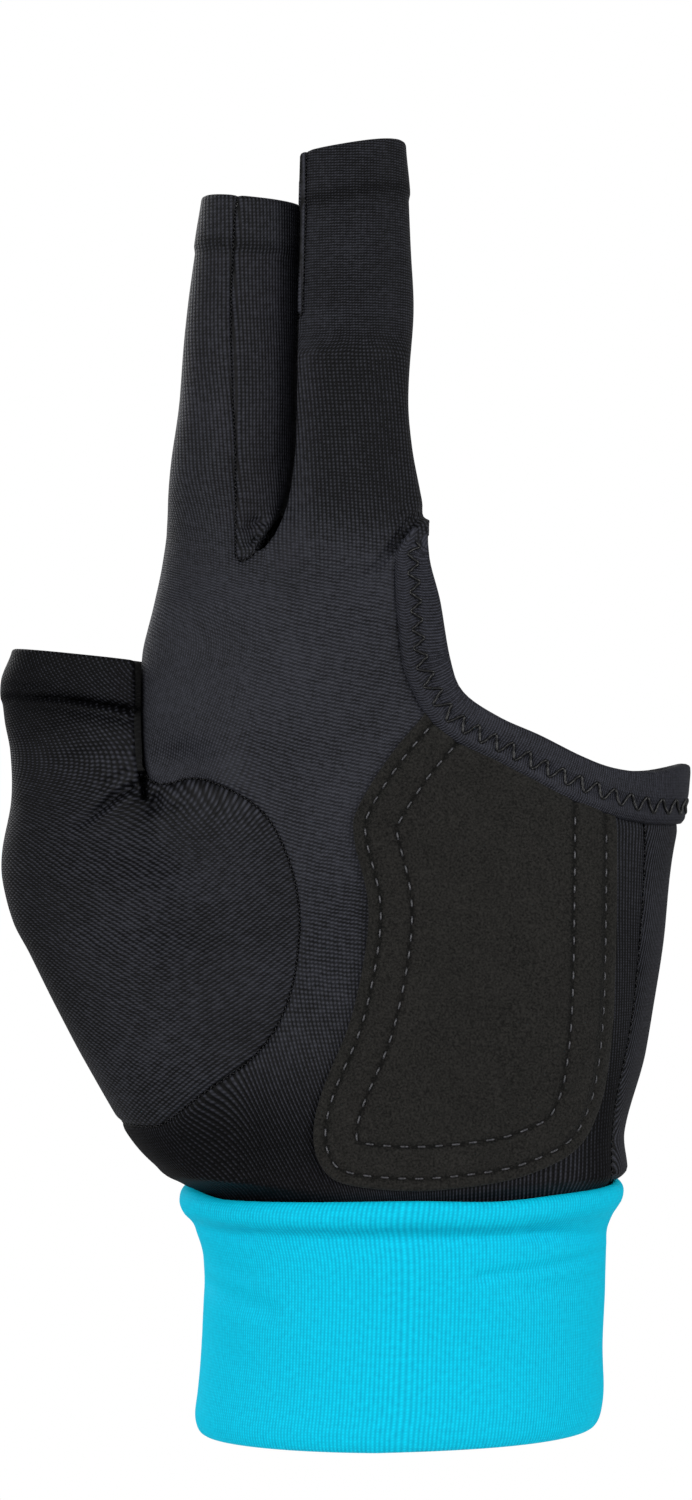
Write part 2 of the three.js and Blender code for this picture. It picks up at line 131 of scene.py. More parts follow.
def nearest_on_line(line, x, z):
    """How far points are from a line of x, z points, positive to its left, and how far along it."""
    nearest = np.full(x.shape, np.inf)
    side, far = np.zeros(x.shape), np.zeros(x.shape)
    start = 0.0
    for (x0, z0), (x1, z1) in zip(line[:-1], line[1:]):
        along_x, along_z = x1 - x0, z1 - z0
        length = math.hypot(along_x, along_z)
        share = ((x - x0) * along_x + (z - z0) * along_z) / length ** 2
        t = np.clip(share, 0, 1)
        gap_x, gap_z = x - x0 - t * along_x, z - z0 - t * along_z
        gap = gap_x ** 2 + gap_z ** 2
        closer = gap < nearest - 1e-12
        nearest = np.where(closer, gap, nearest)
        side = np.where(closer, along_x * gap_z - along_z * gap_x, side)
        far = np.where(closer, start + t * length, far)
        start += length
    return np.sqrt(nearest) * np.where(side < 0, -1, 1), far


def beside_line(line, x, z):
    return nearest_on_line(line, x, z)[0]


def new_object(name, data):
    thing = bpy.data.objects.new(name, data)
    bpy.context.scene.collection.objects.link(thing)
    return thing


def make_piece(name, points, faces, material, places=None):
    """A smooth mesh from points in millimetres, riding on the glove.

    places has the cloth's own coordinates at each point, and in a fourth column the painted shade that
    darkens its colour there, or painted light where that is below zero."""
    mesh = bpy.data.meshes.new(name)
    mesh.from_pydata((points * MM).tolist(), [], faces.tolist())
    mesh.polygons.foreach_set("use_smooth", np.ones(len(mesh.polygons), bool))
    if places is not None:
        layer = mesh.attributes.new("cloth", "FLOAT_VECTOR", "POINT")
        layer.data.foreach_set("vector", np.asarray(places[:, :3], np.float32).ravel())
        if places.shape[1] == 4:
            # The fourth column is painted shade: it darkens the colour where shade falls in the real glove
            layer = mesh.attributes.new("painted_shade", "FLOAT", "POINT")
            layer.data.foreach_set("value", np.asarray(places[:, 3], np.float32))
    mesh.materials.append(material)
    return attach(new_object(name, mesh), "root")


def add(tree, kind, inputs=(), **settings):
    """Adds a node: settings are its properties, and inputs are values or sockets by name or number."""
    node = tree.nodes.new("ShaderNode" + kind)
    for name, value in settings.items():
        setattr(node, name, value)
    for socket, value in dict(inputs).items():
        target = node.inputs[socket]
        if isinstance(value, bpy.types.NodeSocket):
            tree.links.new(value, target)
        else:
            target.default_value = value
    return node


def new_material(name):
    material = bpy.data.materials.new(name)
    material.use_nodes = True
    material.node_tree.nodes.clear()
    return material, material.node_tree


def weighed(tree, start, *parts):
    """The start value plus each part times its weight. Any of them may be a socket."""
    for part, weight in parts:
        start = add(tree, "Math", {0: part, 1: weight, 2: start}, operation="MULTIPLY_ADD").outputs[0]
    return start


def shades(tree, tone, dark, light, start, end):
    """A colour that runs from dark to light as the tone goes from start to end."""
    ramp = add(tree, "ValToRGB", {"Fac": tone})
    for element, place, colour in zip(ramp.color_ramp.elements, (start, end), (dark, light)):
        element.position = place
        element.color = linear(colour)
    return ramp.outputs[0]


def finish_material(tree, colour, height, relief, strength, **inputs):
    """Ends a material with its relief, in mm, and the surface shader, whose sockets go by their words."""
    bump = add(tree, "Bump", {"Height": height, "Distance": relief * MM, "Strength": strength})
    inputs.update(base_color=colour, normal=bump.outputs[0])
    names = {key: key.replace("_", " ").title() for key in inputs}
    names.update(specular="Specular IOR Level")
    shader = add(tree, "BsdfPrincipled", {names[key]: inputs[key] for key in inputs})
    add(tree, "OutputMaterial", {"Surface": shader.outputs[0]})


LOOP_LEAN = 0.4  # how far a loop's legs lean into its neighbours, in radians of a row
ROW_WANDER = 5.0  # how far rows stray from straight, in radians


def knit_height(tree, wale, course):
    """Height of jersey, from 0 to 1: columns of loops a wale apart, and loops a course high.

    The cloth's coordinates give mm across and along, and how far the columns outweigh the rows."""
    cloth = add(tree, "Attribute", attribute_name="cloth").outputs["Vector"]
    across, along, ribbed = add(tree, "SeparateXYZ", {0: cloth}).outputs
    column = weighed(tree, 0.0, (across, 2 * math.pi / wale))
    uneven = add(tree, "TexNoise", {"Vector": cloth, "Scale": 0.5, "Detail": 2.0}).outputs[0]
    row = weighed(tree, 0.0, (uneven, ROW_WANDER), (along, 2 * math.pi / course))
    rib = add(tree, "Math", {0: column}, operation="SINE").outputs[0]
    leg = add(tree, "Math", {0: column}, operation="COSINE").outputs[0]
    loop = add(tree, "Math", {0: weighed(tree, row, (leg, LOOP_LEAN))}, operation="SINE").outputs[0]
    lines = add(tree, "Mix", {0: ribbed, 2: loop, 3: rib}, data_type="FLOAT").outputs[0]
    dots = weighed(tree, 0.0, (rib, loop))
    return weighed(tree, 0.5, (dots, 0.12), (lines, 0.35)), cloth


def cyan_cuff_knit():
    """Dyed nylon-elastane: a saturated matt cyan with fine ribs, and a fuzz that lights its sides."""
    material, tree = new_material("cyan_elastane_knit")
    height, cloth = knit_height(tree, CUFF_WALE, CUFF_COURSE)
    fuzz = add(tree, "TexNoise", {"Vector": cloth, "Scale": 1.2, "Detail": 3.0}).outputs[0]
    tone = weighed(tree, 0.0, (fuzz, 0.4), (height, 0.6))
    colour = shades(tree, tone, "#0088a8", "#00bedb", 0.15, 0.85)
    finish_material(tree, colour, height, 0.07, 0.7, roughness=0.75, specular=0.08,
                    sheen_weight=0.5, sheen_roughness=0.5, sheen_tint=linear("#04c8e0"))
    return material


def cuff_mesh():
    """The cuff's points, its faces and the cloth's coordinates on it."""
    profile = smooth_line(CUFF_PROFILE, CUFF_RING_STEP, closed=True)[:-1]
    angle = np.linspace(0, 2 * math.pi, CUFF_SIDES, endpoint=False)
    z, left, right, deep = (column[:, None] for column in profile.T)
    x = (left + right) / 2 + (right - left) / 2 * rounded(np.cos(angle), CUFF_SQUARENESS)
    y = deep * rounded(np.sin(angle), CUFF_SQUARENESS)
    z = z + CUFF_TIP * x * z / CUFF_TOP
    # The hem rises towards the little finger, and the roll dips beside the pad and rises at the thumb
    z = z + CUFF_HEM_RISE * np.maximum(x + 4, 0) * step_between(14, 0, z)
    z = z - CUFF_ROLL_DIP * np.exp(-((x - 15) / 9) ** 2) * step_between(30, 37, z) * step_between(0, -8, y)
    z = z + CUFF_ROLL_RISE * step_between(-27, -35, x) * step_between(30, 37, z)
    press = CUFF_RIPPLE * np.sin(x / 6.1 + z / 4.3) * np.sin(z / 7.9 + y / 5.7)
    for x0, z0, x1, z1, width, depth in CUFF_CREASES:
        away = beside_line([(x0, z0), (x1, z1)], x, z)
        press += step_between(2, -6, y) * depth * np.exp(-(away / width) ** 2)
    shrink = 1 - press / np.hypot(x, y)
    index = np.arange(z.size).reshape(z.shape)
    after, beside = np.roll(index, -1, axis=0), np.roll(index, -1, axis=1)
    faces = columns(index, after, np.roll(after, -1, axis=1), beside)
    places = columns(angle * CUFF_TURN, z, 0.8)
    return columns(x * shrink, y * shrink, z).reshape(-1, 3), faces.reshape(-1, 4), places.reshape(-1, 3)


cuff_points, cuff_faces, cuff_places = cuff_mesh()
cuff = make_piece("wrist_cuff_knit", cuff_points, cuff_faces, cyan_cuff_knit(), cuff_places)
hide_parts("wrist_cuff")

# Glove body
# Black nylon-elastane knit about 1.2 mm thick, cut in panels and stretched on the hand. The panels
# share one surface, so that is worked out first: rounded tubes that melt into each other.
KNIT_WALL = 1.2
KNIT_STEP = 0.6
NET_BLOCK = 4
NET_LOW, NET_HIGH = np.array([-67.0, -27.0, 24.0]), np.array([50.0, 25.0, 210.0])
PROBE = 0.05  # the distance over which the surface's slope is measured
HAND_SQUARENESS = 2.5
PALM_BLEND = 5.0
THUMB_BLEND = 12.0
SLEEVE_BLEND = 1.2
MOUTH_ROUND = 1.5
MOUTH_END = 60
BODY_ROUNDING = 6.0
SLEEVE_ROUNDING = 1.0
BODY_RIPPLE = 0.14
THUMB_WEB = (82.0, 103.0)
SLOT_WIDTH = 0.6
SLOT_EDGE = 0.9
# The thumb's slot and the fingers': how they lean to the right with depth, in mm for each mm, the depth
# where they start to, and how they then curl that way
SLOT_LEAN = (-0.16, 0.25)
SLOT_FRONT_Y = (0.0, -8.0)
SLOT_CURL = (0.026, 0.0)
SLOT_CURL_Y = -2.0
BACK_SEAM_Y = 3.0
SEAM_GAP = 0.18
FAR = 120.0

# Each form's sections: height, left edge, right edge, middle in depth, half depth. The mouth is the
# cuff's, and the body stays inside it.
FORMS = {
    "palm": [
        (24, -31, 33, 0, 20), (35.5, -32.6, 34.6, 0, 20.4), (40.5, -35.2, 36, 0, 20.4),
        (47, -37.5, 35.5, 0, 19.6), (59.5, -41, 38.9, 0, 18), (75.5, -42.5, 41.5, 0, 16.5),
        (90, -42.5, 43.2, 0, 15.4), (101, -41.7, 45, 0, 14.8), (115, -41.6, 46, 0, 14.2),
        (123, -40.8, 45, 0, 13.6), (131, -38.2, 43, 0, 12.8), (141, -34.5, 40, 0, 12),
    ],
    "thumb": [
        (34, -30, -20, -2, 13), (39, -33, -19, -3, 15.5), (44, -39.6, -18, -3, 16.8),
        (48, -43, -18, -3, 17.3), (58.7, -49.5, -20, -4.5, 18.5), (66.7, -53.8, -24, -4.5, 18),
        (75.4, -58.4, -28, -4, 16.5), (80, -61, -31, -3, 15), (86.5, -62.7, -35, -2, 13.5),
        (91, -62.8, -38, -1, 12), (99, -61.7, -38.5, 1, 10.6), (107, -61.9, -38.5, 2, 10.2),
        (112, -62.8, -38.5, 2.3, 10.2), (118, -63.2, -38.5, 2.7, 10.1), (123, -61.5, -40, 3, 9.8),
        (131, -61, -46, 3.4, 9.6),
    ],
    "heel": [
        (40, 6, 31, -2, 16), (55, 3, 33, -3, 17), (70, 3, 35, -3.5, 16.5), (85, 5, 36, -3, 14.5),
        (100, 9, 36, -2, 11),
    ],
    "index": [
        (128, -36.6, -15, 1, 10.5), (143.5, -36.9, -16, 1.5, 10), (153, -36.4, -16, 2, 9.3),
        (163, -35.1, -15.8, 2.2, 9.2), (178.5, -33.8, -15.5, 2.5, 8.6), (188, -32.4, -15.5, 2.5, 8.2),
        (195, -31.3, -15.5, 2.5, 7.9), (204, -30.6, -15.5, 2.5, 7.6),
    ],
    "middle": [
        (128, -21, 4.8, -1, 11.5), (142, -20.5, 4.3, -2, 10.8), (147, -19.5, 3.5, -2, 10.2),
        (155, -18.9, 1.9, -2, 9.4), (162, -18.9, 1.3, -2, 9.2), (175.5, -18.6, 2.1, -2, 9.2),
        (185, -18.3, 1.7, -2, 8.9), (195, -18.2, 1.3, -2, 8.6), (202.5, -18, 0.5, -2, 8.3),
        (213, -18, 0.2, -2, 8),
    ],
    "mouth": [
        (20, -30.5, 32, 0, 18.4), (36.5, -31.2, 32.6, 0, 18.8), (38.5, -33, 34.2, 0, 20.2),
        (41, -38, 39, 0, 24), (46, -54, 54, 0, 40), (60, -90, 90, 0, 70), (260, -90, 90, 0, 70),
    ],
}
# Folds on the palm side: the line in x, z, half width, the depth along it and the lip on its lower side
FOLDS = [
    ([(-65, 115.4), (-55, 115.3), (-48, 114.5), (-42.2, 113.4)], 0.62, (0.2, 0.9, 1.9, 2.4), 0.32),
    ([(-64, 117.2), (-58, 116.9), (-52, 116.3)], 0.5, (0.2, 0.6, 0.1), 0.1),
    ([(-60, 108.4), (-51, 110.8), (-42.5, 109.8)], 1.3, (0.0, 0.5, 0.4), 0.2),
    ([(-59, 104.0), (-51, 105.6), (-43, 108.0)], 1.4, (0.0, 0.4, 0.4), 0.2),
    ([(-50.5, 95.2), (-46.8, 98.0), (-43.6, 100.6), (-40.6, 101.5)], 0.7, (0.3, 1.7, 1.9, 1.4), 0.34),
    ([(-50, 100.6), (-46, 101.8), (-43, 103.4)], 0.8, (0.0, 0.6, 0.5), 0.1),
    ([(-6.4, 132.8), (-3.4, 136.0), (-1.0, 139.3), (1.2, 142.4), (3.4, 144.4)], 0.66,
     (0.3, 0.9, 1.15, 1.1, 0.6), 0.3),
    ([(-10, 130.0), (-6, 133.0)], 1.5, (0.0, 0.4), 0.1),
    ([(-5, 139), (-1, 143), (2, 148)], 1.2, (0.1, 0.35, 0.1), 0.1),
    ([(-24.4, 142.0), (-22.6, 142.9), (-21.2, 142.9)], 0.45, (0.3, 0.5, 0.2), 0.2),
    ([(-23.6, 139.4), (-22.2, 140.2), (-21.2, 140.5)], 0.45, (0.3, 0.4, 0.2), 0.2),
]
LIP_AWAY, LIP_WIDTH = 2.1, 1.2  # in half widths of the fold
# Soft dents on the palm side, and bulges as minus depths: x, z, half width, half height, depth
DENTS = [
    (-33.5, 105.0, 5.0, 3.2, 1.9), (-38.6, 98.8, 1.4, 1.6, 1.4), (-35.4, 99.6, 1.9, 1.6, -0.6),
    (-25.0, 41.5, 13.0, 6.5, 1.5), (-12.0, 60.0, 5.0, 16.0, 0.5), (-9.0, 101.0, 5.0, 14.0, 0.4),
    (-20.0, 122.0, 12.0, 12.0, -0.4), (-30.0, 78.0, 14.0, 16.0, -0.5), (2.0, 129.0, 4.0, 9.0, 0.4),
    (-22.9, 141.3, 1.7, 2.8, 0.9),
]
FINGER_SLOT = [
    (-15.6, 216), (-16.3, 188), (-16.7, 170), (-17.0, 156), (-17.9, 148), (-19.5, 142.2), (-21.4, 139),
]
THUMB_SLOT = [(-42.0, 136), (-42.0, 112), (-41.45, 103), (-41.1, 99.6)]


def smooth_min(a, b, reach):
    h = np.maximum(reach - np.abs(a - b), 0) / reach
    return np.minimum(a, b) - h * h * reach / 4


def sections(rows):
    """The form's left, right, middle and half depth at any height, smooth between its rows."""
    z, *measures = np.array(rows, float).T
    fine = np.linspace(z[0], z[-1], 800)
    i = np.clip(np.searchsorted(z, fine, side="right") - 1, 0, len(z) - 2)
    before, after = np.maximum(np.arange(len(z)) - 1, 0), np.minimum(np.arange(len(z)) + 1, len(z) - 1)
    span = z[i + 1] - z[i]
    t = (fine - z[i]) / span
    rise = t * t * (3 - 2 * t)
    smooth = []
    for column in measures:
        slope = (column[after] - column[before]) / (z[after] - z[before])
        bend = span * t * (1 - t) * ((1 - t) * slope[i] - t * slope[i + 1])
        smooth.append(column[i] * (1 - rise) + column[i + 1] * rise + bend)
    return z[0], z[-1], fine, smooth


CURVES = {name: sections(rows) for name, rows in FORMS.items()}


def at_height(name, z):
    return [np.interp(z, CURVES[name][2], column) for column in CURVES[name][3]]


def form_distance(name, top_rounding, x, y, z):
    """Distance to one rounded tube, negative inside, rounded off at both ends."""
    left, right, mid, deep = at_height(name, z)
    half = (right - left) / 2
    n = HAND_SQUARENESS
    u, v = np.abs(x - (left + right) / 2) / half, np.abs(y - mid) / deep
    gauge = np.maximum((u ** n + v ** n) ** (1 / n), 1e-6)
    slope = np.hypot((u / gauge) ** (n - 1) / half, (v / gauge) ** (n - 1) / deep)
    side = (gauge - 1) / np.maximum(slope, 1e-6)
    bottom, top = CURVES[name][:2]
    capped = -smooth_min(-side, top - z, top_rounding)
    return -smooth_min(-capped, z - bottom, BODY_ROUNDING)


def round_line(line, reach, x, z):
    """Which points lie in the line's box or within a reach of it."""
    low, high = line.min(0) - reach, line.max(0) + reach
    return (x > low[0]) & (x < high[0]) & (z > low[1]) & (z < high[1])


def leaning(x, y):
    """x as it is at the slots' front. The slots curl, so that no one can see through them."""
    share = step_between(-40, -28, x)
    both = (SLOT_LEAN, SLOT_FRONT_Y, SLOT_CURL)
    lean, front, curl = (thumb + (finger - thumb) * share for thumb, finger in both)
    return x - lean * (y - front) - curl * np.maximum(y - SLOT_CURL_Y, 0) ** 2


slot_lines = [smooth_line(line, 2.5) for line in (FINGER_SLOT, THUMB_SLOT)]
fold_lines = [(smooth_line(line, 1.0), *sizes) for line, *sizes in FOLDS]


def past_slots(x, z):
    """How far points lie to the right of the fingers' slot and of the thumb's."""
    return [x - np.interp(z, line[::-1, 1], line[::-1, 0]) for line in slot_lines]


def fold_depth(x, y, z):
    """How deep the folds and dents press the palm side in."""
    depth = np.zeros_like(x)
    facing = step_between(1, 6, -y)
    for line, width, deep, lip in fold_lines:
        near = round_line(line, 4 * width, x, z) & (facing > 0)
        away, far = nearest_on_line(line, x[near], z[near])
        here = np.interp(far / far_along(line)[-1], np.linspace(0, 1, len(deep)), deep)
        raised = lip * np.exp(-((away + LIP_AWAY * width) / (LIP_WIDTH * width)) ** 2)
        depth[near] += facing[near] * here * (np.exp(-(away / width) ** 2) - raised)
    for dent_x, dent_z, wide, high, deep in DENTS:
        u, v = (x - dent_x) / wide, (z - dent_z) / high
        near = (np.abs(u) < 2.5) & (np.abs(v) < 2.5) & (facing > 0)
        depth[near] += facing[near] * deep * np.exp(-u[near] ** 2 - v[near] ** 2)
    return depth + BODY_RIPPLE * np.sin(x / 5.3 + z / 8.7) * np.sin(z / 6.1 - x / 11.3 + y / 7.9)


def glove_distance(points):
    """Distance to the whole glove's outer surface."""
    x, y, z = points.T
    flat_x = leaning(x, y)
    past_finger, past_thumb = past_slots(flat_x, z)

    def sleeve(name, line, past):
        """A sleeve stops at its slot, but under the slot's end it reaches over freely."""
        free = 60 * step_between(line[-1, 1] + 5, line[-1, 1] - 22, z)
        return np.maximum(form_distance(name, SLEEVE_ROUNDING, x, y, z), past - free)

    heel = form_distance("heel", BODY_ROUNDING, x, y, z)
    palm = smooth_min(form_distance("palm", BODY_ROUNDING, x, y, z), heel, PALM_BLEND)
    index = sleeve("index", slot_lines[0], past_finger)
    middle = sleeve("middle", slot_lines[0], -past_finger)
    hand = smooth_min(palm, smooth_min(index, middle, SLEEVE_BLEND), PALM_BLEND)
    reach = THUMB_BLEND + (SLEEVE_BLEND - THUMB_BLEND) * step_between(*THUMB_WEB, z)
    whole = smooth_min(hand, sleeve("thumb", slot_lines[1], past_thumb), reach)
    low = z < MOUTH_END
    mouth = form_distance("mouth", BODY_ROUNDING, x[low], y[low], z[low] - CUFF_TIP * x[low])
    whole[low] = -smooth_min(-whole[low], -mouth, MOUTH_ROUND)
    slot = np.full(x.shape, FAR)
    for line in slot_lines:
        near = round_line(line, SLOT_WIDTH + 2 * SLOT_EDGE, flat_x, z)
        gap = np.abs(beside_line(line, flat_x[near], z[near])) - SLOT_WIDTH / 2
        slot[near] = np.minimum(slot[near], gap)
    cut = -smooth_min(-whole, slot, SLOT_EDGE)
    return cut + fold_depth(x, y, z) * step_between(0.1, 1.8, slot)


def unit(vectors):
    return vectors / np.maximum(np.linalg.norm(vectors, axis=-1, keepdims=True), 1e-9)


def value_and_slope(field, points):
    """A field's value at each point, and how fast it grows along each axis."""
    value = field(points)
    slope = np.stack([field(points + PROBE * axis) - value for axis in np.eye(3)], axis=1) / PROBE
    return value, slope


def to_zero(field, points, least):
    """The steps that bring points to where a field is zero. least keeps them short where it is flat."""
    value, slope = value_and_slope(field, points)
    return (-value / np.maximum((slope ** 2).sum(1), least))[:, None] * slope


def settle(points, rounds=4):
    """Moves points onto the glove's surface."""
    for _ in range(rounds):
        step = to_zero(glove_distance, points, 0.05)
        length = np.linalg.norm(step, axis=1, keepdims=True)
        points = points + step * np.minimum(1, KNIT_STEP / np.maximum(length, 1e-9))
    return points


def outward(points):
    """The directions that point straight out of the glove."""
    return unit(value_and_slope(glove_distance, points)[1])


def sides_of(faces):
    """Both ends of each face's sides: all first sides, then all second ones, and so on."""
    count = faces.shape[1]
    return np.vstack([faces[:, [n, (n + 1) % count]] for n in range(count)])


def glove_net():
    """A net of triangles over the glove, with one point in each grid cell that its surface crosses."""
    blocks = np.ceil((NET_HIGH - NET_LOW) / (NET_BLOCK * KNIT_STEP)).astype(int)
    place = [NET_LOW[a] + (np.arange(blocks[a] * NET_BLOCK) + 0.5) * KNIT_STEP for a in range(3)]
    centre = [axis.reshape(-1, NET_BLOCK).mean(1) for axis in place]
    coarse = np.stack(np.meshgrid(*centre, indexing="ij"), axis=-1).reshape(-1, 3)
    value = np.kron(glove_distance(coarse).reshape(blocks), np.ones([NET_BLOCK] * 3))
    close = np.abs(value) < 1.6 * NET_BLOCK * KNIT_STEP
    value[close] = glove_distance(columns(*(axis[at] for axis, at in zip(place, np.nonzero(close)))))

    inside = value < 0
    corners = np.zeros(np.array(inside.shape) - 1, int)
    for shift in np.ndindex(2, 2, 2):
        corners += inside[tuple(slice(s, s - 1 or None) for s in shift)]
    crossed = (corners > 0) & (corners < 8)
    number = np.full(crossed.shape, -1)
    number[crossed] = np.arange(crossed.sum())
    points = columns(*(axis[at] for axis, at in zip(place, np.nonzero(crossed)))) + KNIT_STEP / 2

    faces = []
    for axis in range(3):
        b, c = (axis + 1) % 3, (axis + 2) % 3
        edge = np.argwhere(np.diff(inside, axis=axis))
        edge = edge[(edge[:, b] > 0) & (edge[:, c] > 0)]
        around = []
        for back in ((1, 1), (0, 1), (0, 0), (1, 0)):
            cell = edge.copy()
            cell[:, [b, c]] -= back
            around.append(number[tuple(np.minimum(cell, np.array(number.shape) - 1).T)])
        around = columns(*around)
        faces.append(np.where(inside[tuple(edge.T)][:, None], around, around[:, ::-1]))
    faces = np.vstack(faces)
    faces = faces[(faces >= 0).all(1)]

    points = settle(points)
    ends = sides_of(faces)
    count = np.bincount(ends[:, 0], minlength=len(points))
    for _ in range(3):
        total = columns(*(np.bincount(ends[:, 0], way[ends[:, 1]], len(points)) for way in points.T))
        points = settle((points + total / np.maximum(count, 1)[:, None]) / 2, rounds=2)
    # Each square is cut along its shorter diagonal
    across, other = (np.linalg.norm(points[faces[:, n]] - points[faces[:, n + 2]], axis=1) for n in (0, 1))
    faces = np.where((across < other)[:, None], faces, np.roll(faces, -1, axis=1))
    return points, np.vstack([faces[:, [0, 1, 2]], faces[:, [0, 2, 3]]])


def clipped(net, field):
    """The part of a net where the field is positive, cut cleanly along the line where it is zero."""
    points, faces = net
    points = points.copy()
    value = field(points)
    near = np.abs(value) < 0.3 * KNIT_STEP
    if near.any():
        points[near] += to_zero(field, points[near], 0.2)
        value[near] = 0
    sign = np.sign(value[faces])
    positive, cut = (sign > 0).sum(1), (sign < 0).any(1)
    whole = faces[(positive > 0) & ~cut]
    one, two = (faces[(positive == count) & cut] for count in (1, 2))
    new_points, pairs = [], {}

    def cut_between(inside, outside):
        """New corners on the edges from inside to outside, shared by the faces that meet there."""
        numbers = []
        for a, b in zip(inside.tolist(), outside.tolist()):
            key = (min(a, b), max(a, b))
            if value[b] != 0 and key not in pairs:
                share = value[a] / (value[a] - value[b])
                pairs[key] = len(points) + len(new_points)
                new_points.append(points[a] + share * (points[b] - points[a]))
            numbers.append(b if value[b] == 0 else pairs[key])
        return np.array(numbers, int)

    def turned(group, first):
        """Each face's corners, from the one that is marked as first."""
        start = np.argmax(first, axis=1)
        return [group[np.arange(len(group)), (start + n) % 3] for n in range(3)]

    a, b, c = turned(one, value[one] > 0)
    single = columns(a, cut_between(a, b), cut_between(a, c))
    c, a, b = turned(two, value[two] < 0)
    from_a, from_b = cut_between(a, c), cut_between(b, c)
    faces = np.vstack([whole, single, columns(from_a, a, b), columns(from_a, b, from_b)])
    if new_points:
        points = np.vstack([points, new_points])
    flat = (faces == np.roll(faces, -1, axis=1)).any(1)
    used, faces = np.unique(faces[~flat], return_inverse=True)
    return points[used], faces.reshape(-1, 3)


def parted(net, field):
    """The parts of a net on both sides of a seam, the field's positive side first, with the gap between."""
    return [clipped(net, lambda points: way * field(points) - SEAM_GAP) for way in (1, -1)]


def refined(net):
    """Each face split into four, with the new points moved onto the surface."""
    points, faces = net
    edges, which = np.unique(np.sort(sides_of(faces), axis=1), axis=0, return_inverse=True)
    which = which.reshape(3, -1).T + len(points)
    (a, b, c), (ab, bc, ca) = faces.T, which.T
    faces = np.vstack([columns(a, ab, ca), columns(ab, b, bc), columns(ca, bc, c), which])
    return np.vstack([points, settle(points[edges].mean(1), rounds=1)]), faces


EDGE_TURNS = np.linspace(0, math.pi, 6)[1:-1]


def shell(net, lift, thickness, edge_round):
    """A cloth of this thickness on the net: its face, its inner side and a rounded edge between them.

    lift and edge_round are functions of the face's points: how far the face stands off the surface,
    and how far the rounded edge reaches past the cut."""
    points, faces = net
    normal = outward(points)
    face = points + lift(points)[:, None] * normal
    half = sides_of(faces)
    code, mirror = (half.astype(np.int64) @ way for way in ((len(points), 1), (1, len(points))))
    rim = half[~np.isin(code, mirror)]
    corner = np.unique(rim)
    along = np.zeros_like(points)
    for side in (0, 1):
        np.add.at(along, rim[:, side], points[rim[:, 1]] - points[rim[:, 0]])
    out = unit(np.cross(along[corner], normal[corner]))
    reach = np.reshape(edge_round(points[corner]), (-1, 1))
    core = face[corner] - thickness / 2 * normal[corner]
    rings = [core + thickness / 2 * math.cos(turn) * normal[corner] + reach * math.sin(turn) * out
             for turn in EDGE_TURNS]
    place = 2 * len(points) + np.searchsorted(corner, rim)
    rows = [rim, *(place + n * len(corner) for n in range(len(rings))), rim + len(points)]
    strips = []
    for upper, lower in zip(rows, rows[1:]):
        strips.append(columns(upper[:, 1], upper[:, 0], lower[:, 0]))
        strips.append(columns(upper[:, 1], lower[:, 0], lower[:, 1]))
    points = np.vstack([face, face - thickness * normal, *rings])
    return points, np.vstack([faces, faces[:, ::-1] + len(normal), *strips])


# Seams and edges seen from the palm side, as x, z points that a smooth line passes through
THUMB_SEAM = [
    (-40.8, 102.3), (-37.6, 101.9), (-30, 102.6), (-18.9, 96.1), (-13.8, 80.3), (-18.7, 61.1),
    (-35.6, 50.6), (-46, 48.6),
]
THUMB_BACK_SEAM = [(-40.8, 98), (-39.4, 92), (-39.2, 74), (-41, 58), (-46, 48.6)]
GUSSET_SEAM = [(-25.4, 207), (-27.1, 181), (-26.2, 155), (-25.4, 139.5), (-24.8, 136.6), (-23.0, 137.2)]
GUSSET_TOP_SEAM = [(-16.6, 174.8), (-15.4, 175.1), (-15.1, 180), (-14.9, 187), (-14.6, 196), (-14.4, 214)]
SIDE_SEAM = [(38.2, 104), (38.3, 88), (36.6, 66.6), (33.6, 50), (33, 30)]
FREE_EDGE = [
    (9, 149), (6.3, 145.2), (4.9, 142.2), (4.5, 137), (6.1, 130.4), (7.7, 121.1), (9.7, 116.1),
    (15.2, 112.3), (21.5, 109.5), (27.7, 106.4), (32.7, 104.5), (38, 103.8), (43, 104.4), (52, 107),
]
BINDING_LINE = [
    (9, 149), (4.6, 144.8), (1.6, 141.4), (-0.4, 136.6), (0.2, 124.2), (1.5, 118), (6, 110.6),
    (15.3, 105.1), (27.7, 99.1), (38.6, 96), (53, 96),
]
# Rims of the open sleeves: outer x, z, inner x, z
THUMB_RIM = (-61.4, 123.2, -41.6, 121.2)
INDEX_RIM = (-31.3, 194.9, -16.7, 193.4)
MIDDLE_RIM = (0.3, 203.1, -15.9, 200.5)
BODY_BOTTOM = 35.5
RIM_ROUND = 0.55

finger_slot, thumb_slot = slot_lines
slot_top = thumb_slot[thumb_slot[:, 1] > 103.2]
slot_low = finger_slot[finger_slot[:, 1] < 174.5][::-1]
thumb_seam = np.vstack([slot_top, smooth_line(THUMB_SEAM, 1.5), [(-FAR, 47)]])
thumb_back_seam = np.vstack([thumb_slot, smooth_line(THUMB_BACK_SEAM, 2.0), [(-FAR, 47)]])
gusset_seam = np.vstack([smooth_line(GUSSET_SEAM, 1.5), slot_low, smooth_line(GUSSET_TOP_SEAM, 1.5)])
side_seam = np.vstack([[(38.2, 2 * FAR)], smooth_line(SIDE_SEAM, 2.0), [(33, -FAR)]])
free_edge = np.vstack([[(9, 2 * FAR)], smooth_line(FREE_EDGE, 1.2), [(FAR, 130)]])
binding_line = np.vstack([[(9, 2 * FAR)], smooth_line(BINDING_LINE, 1.2), [(FAR, 100)]])


def thumb_side(points):
    """Positive on the thumb panel."""
    x, y, z = points.T
    front, back = (-beside_line(seam, leaning(x, y), z) for seam in (thumb_seam, thumb_back_seam))
    return np.where(y < BACK_SEAM_Y, front, back)


def gusset_side(points):
    """Positive on the gusset between the fingers."""
    x, y, z = points.T
    return beside_line(gusset_seam, leaning(x, y), z)


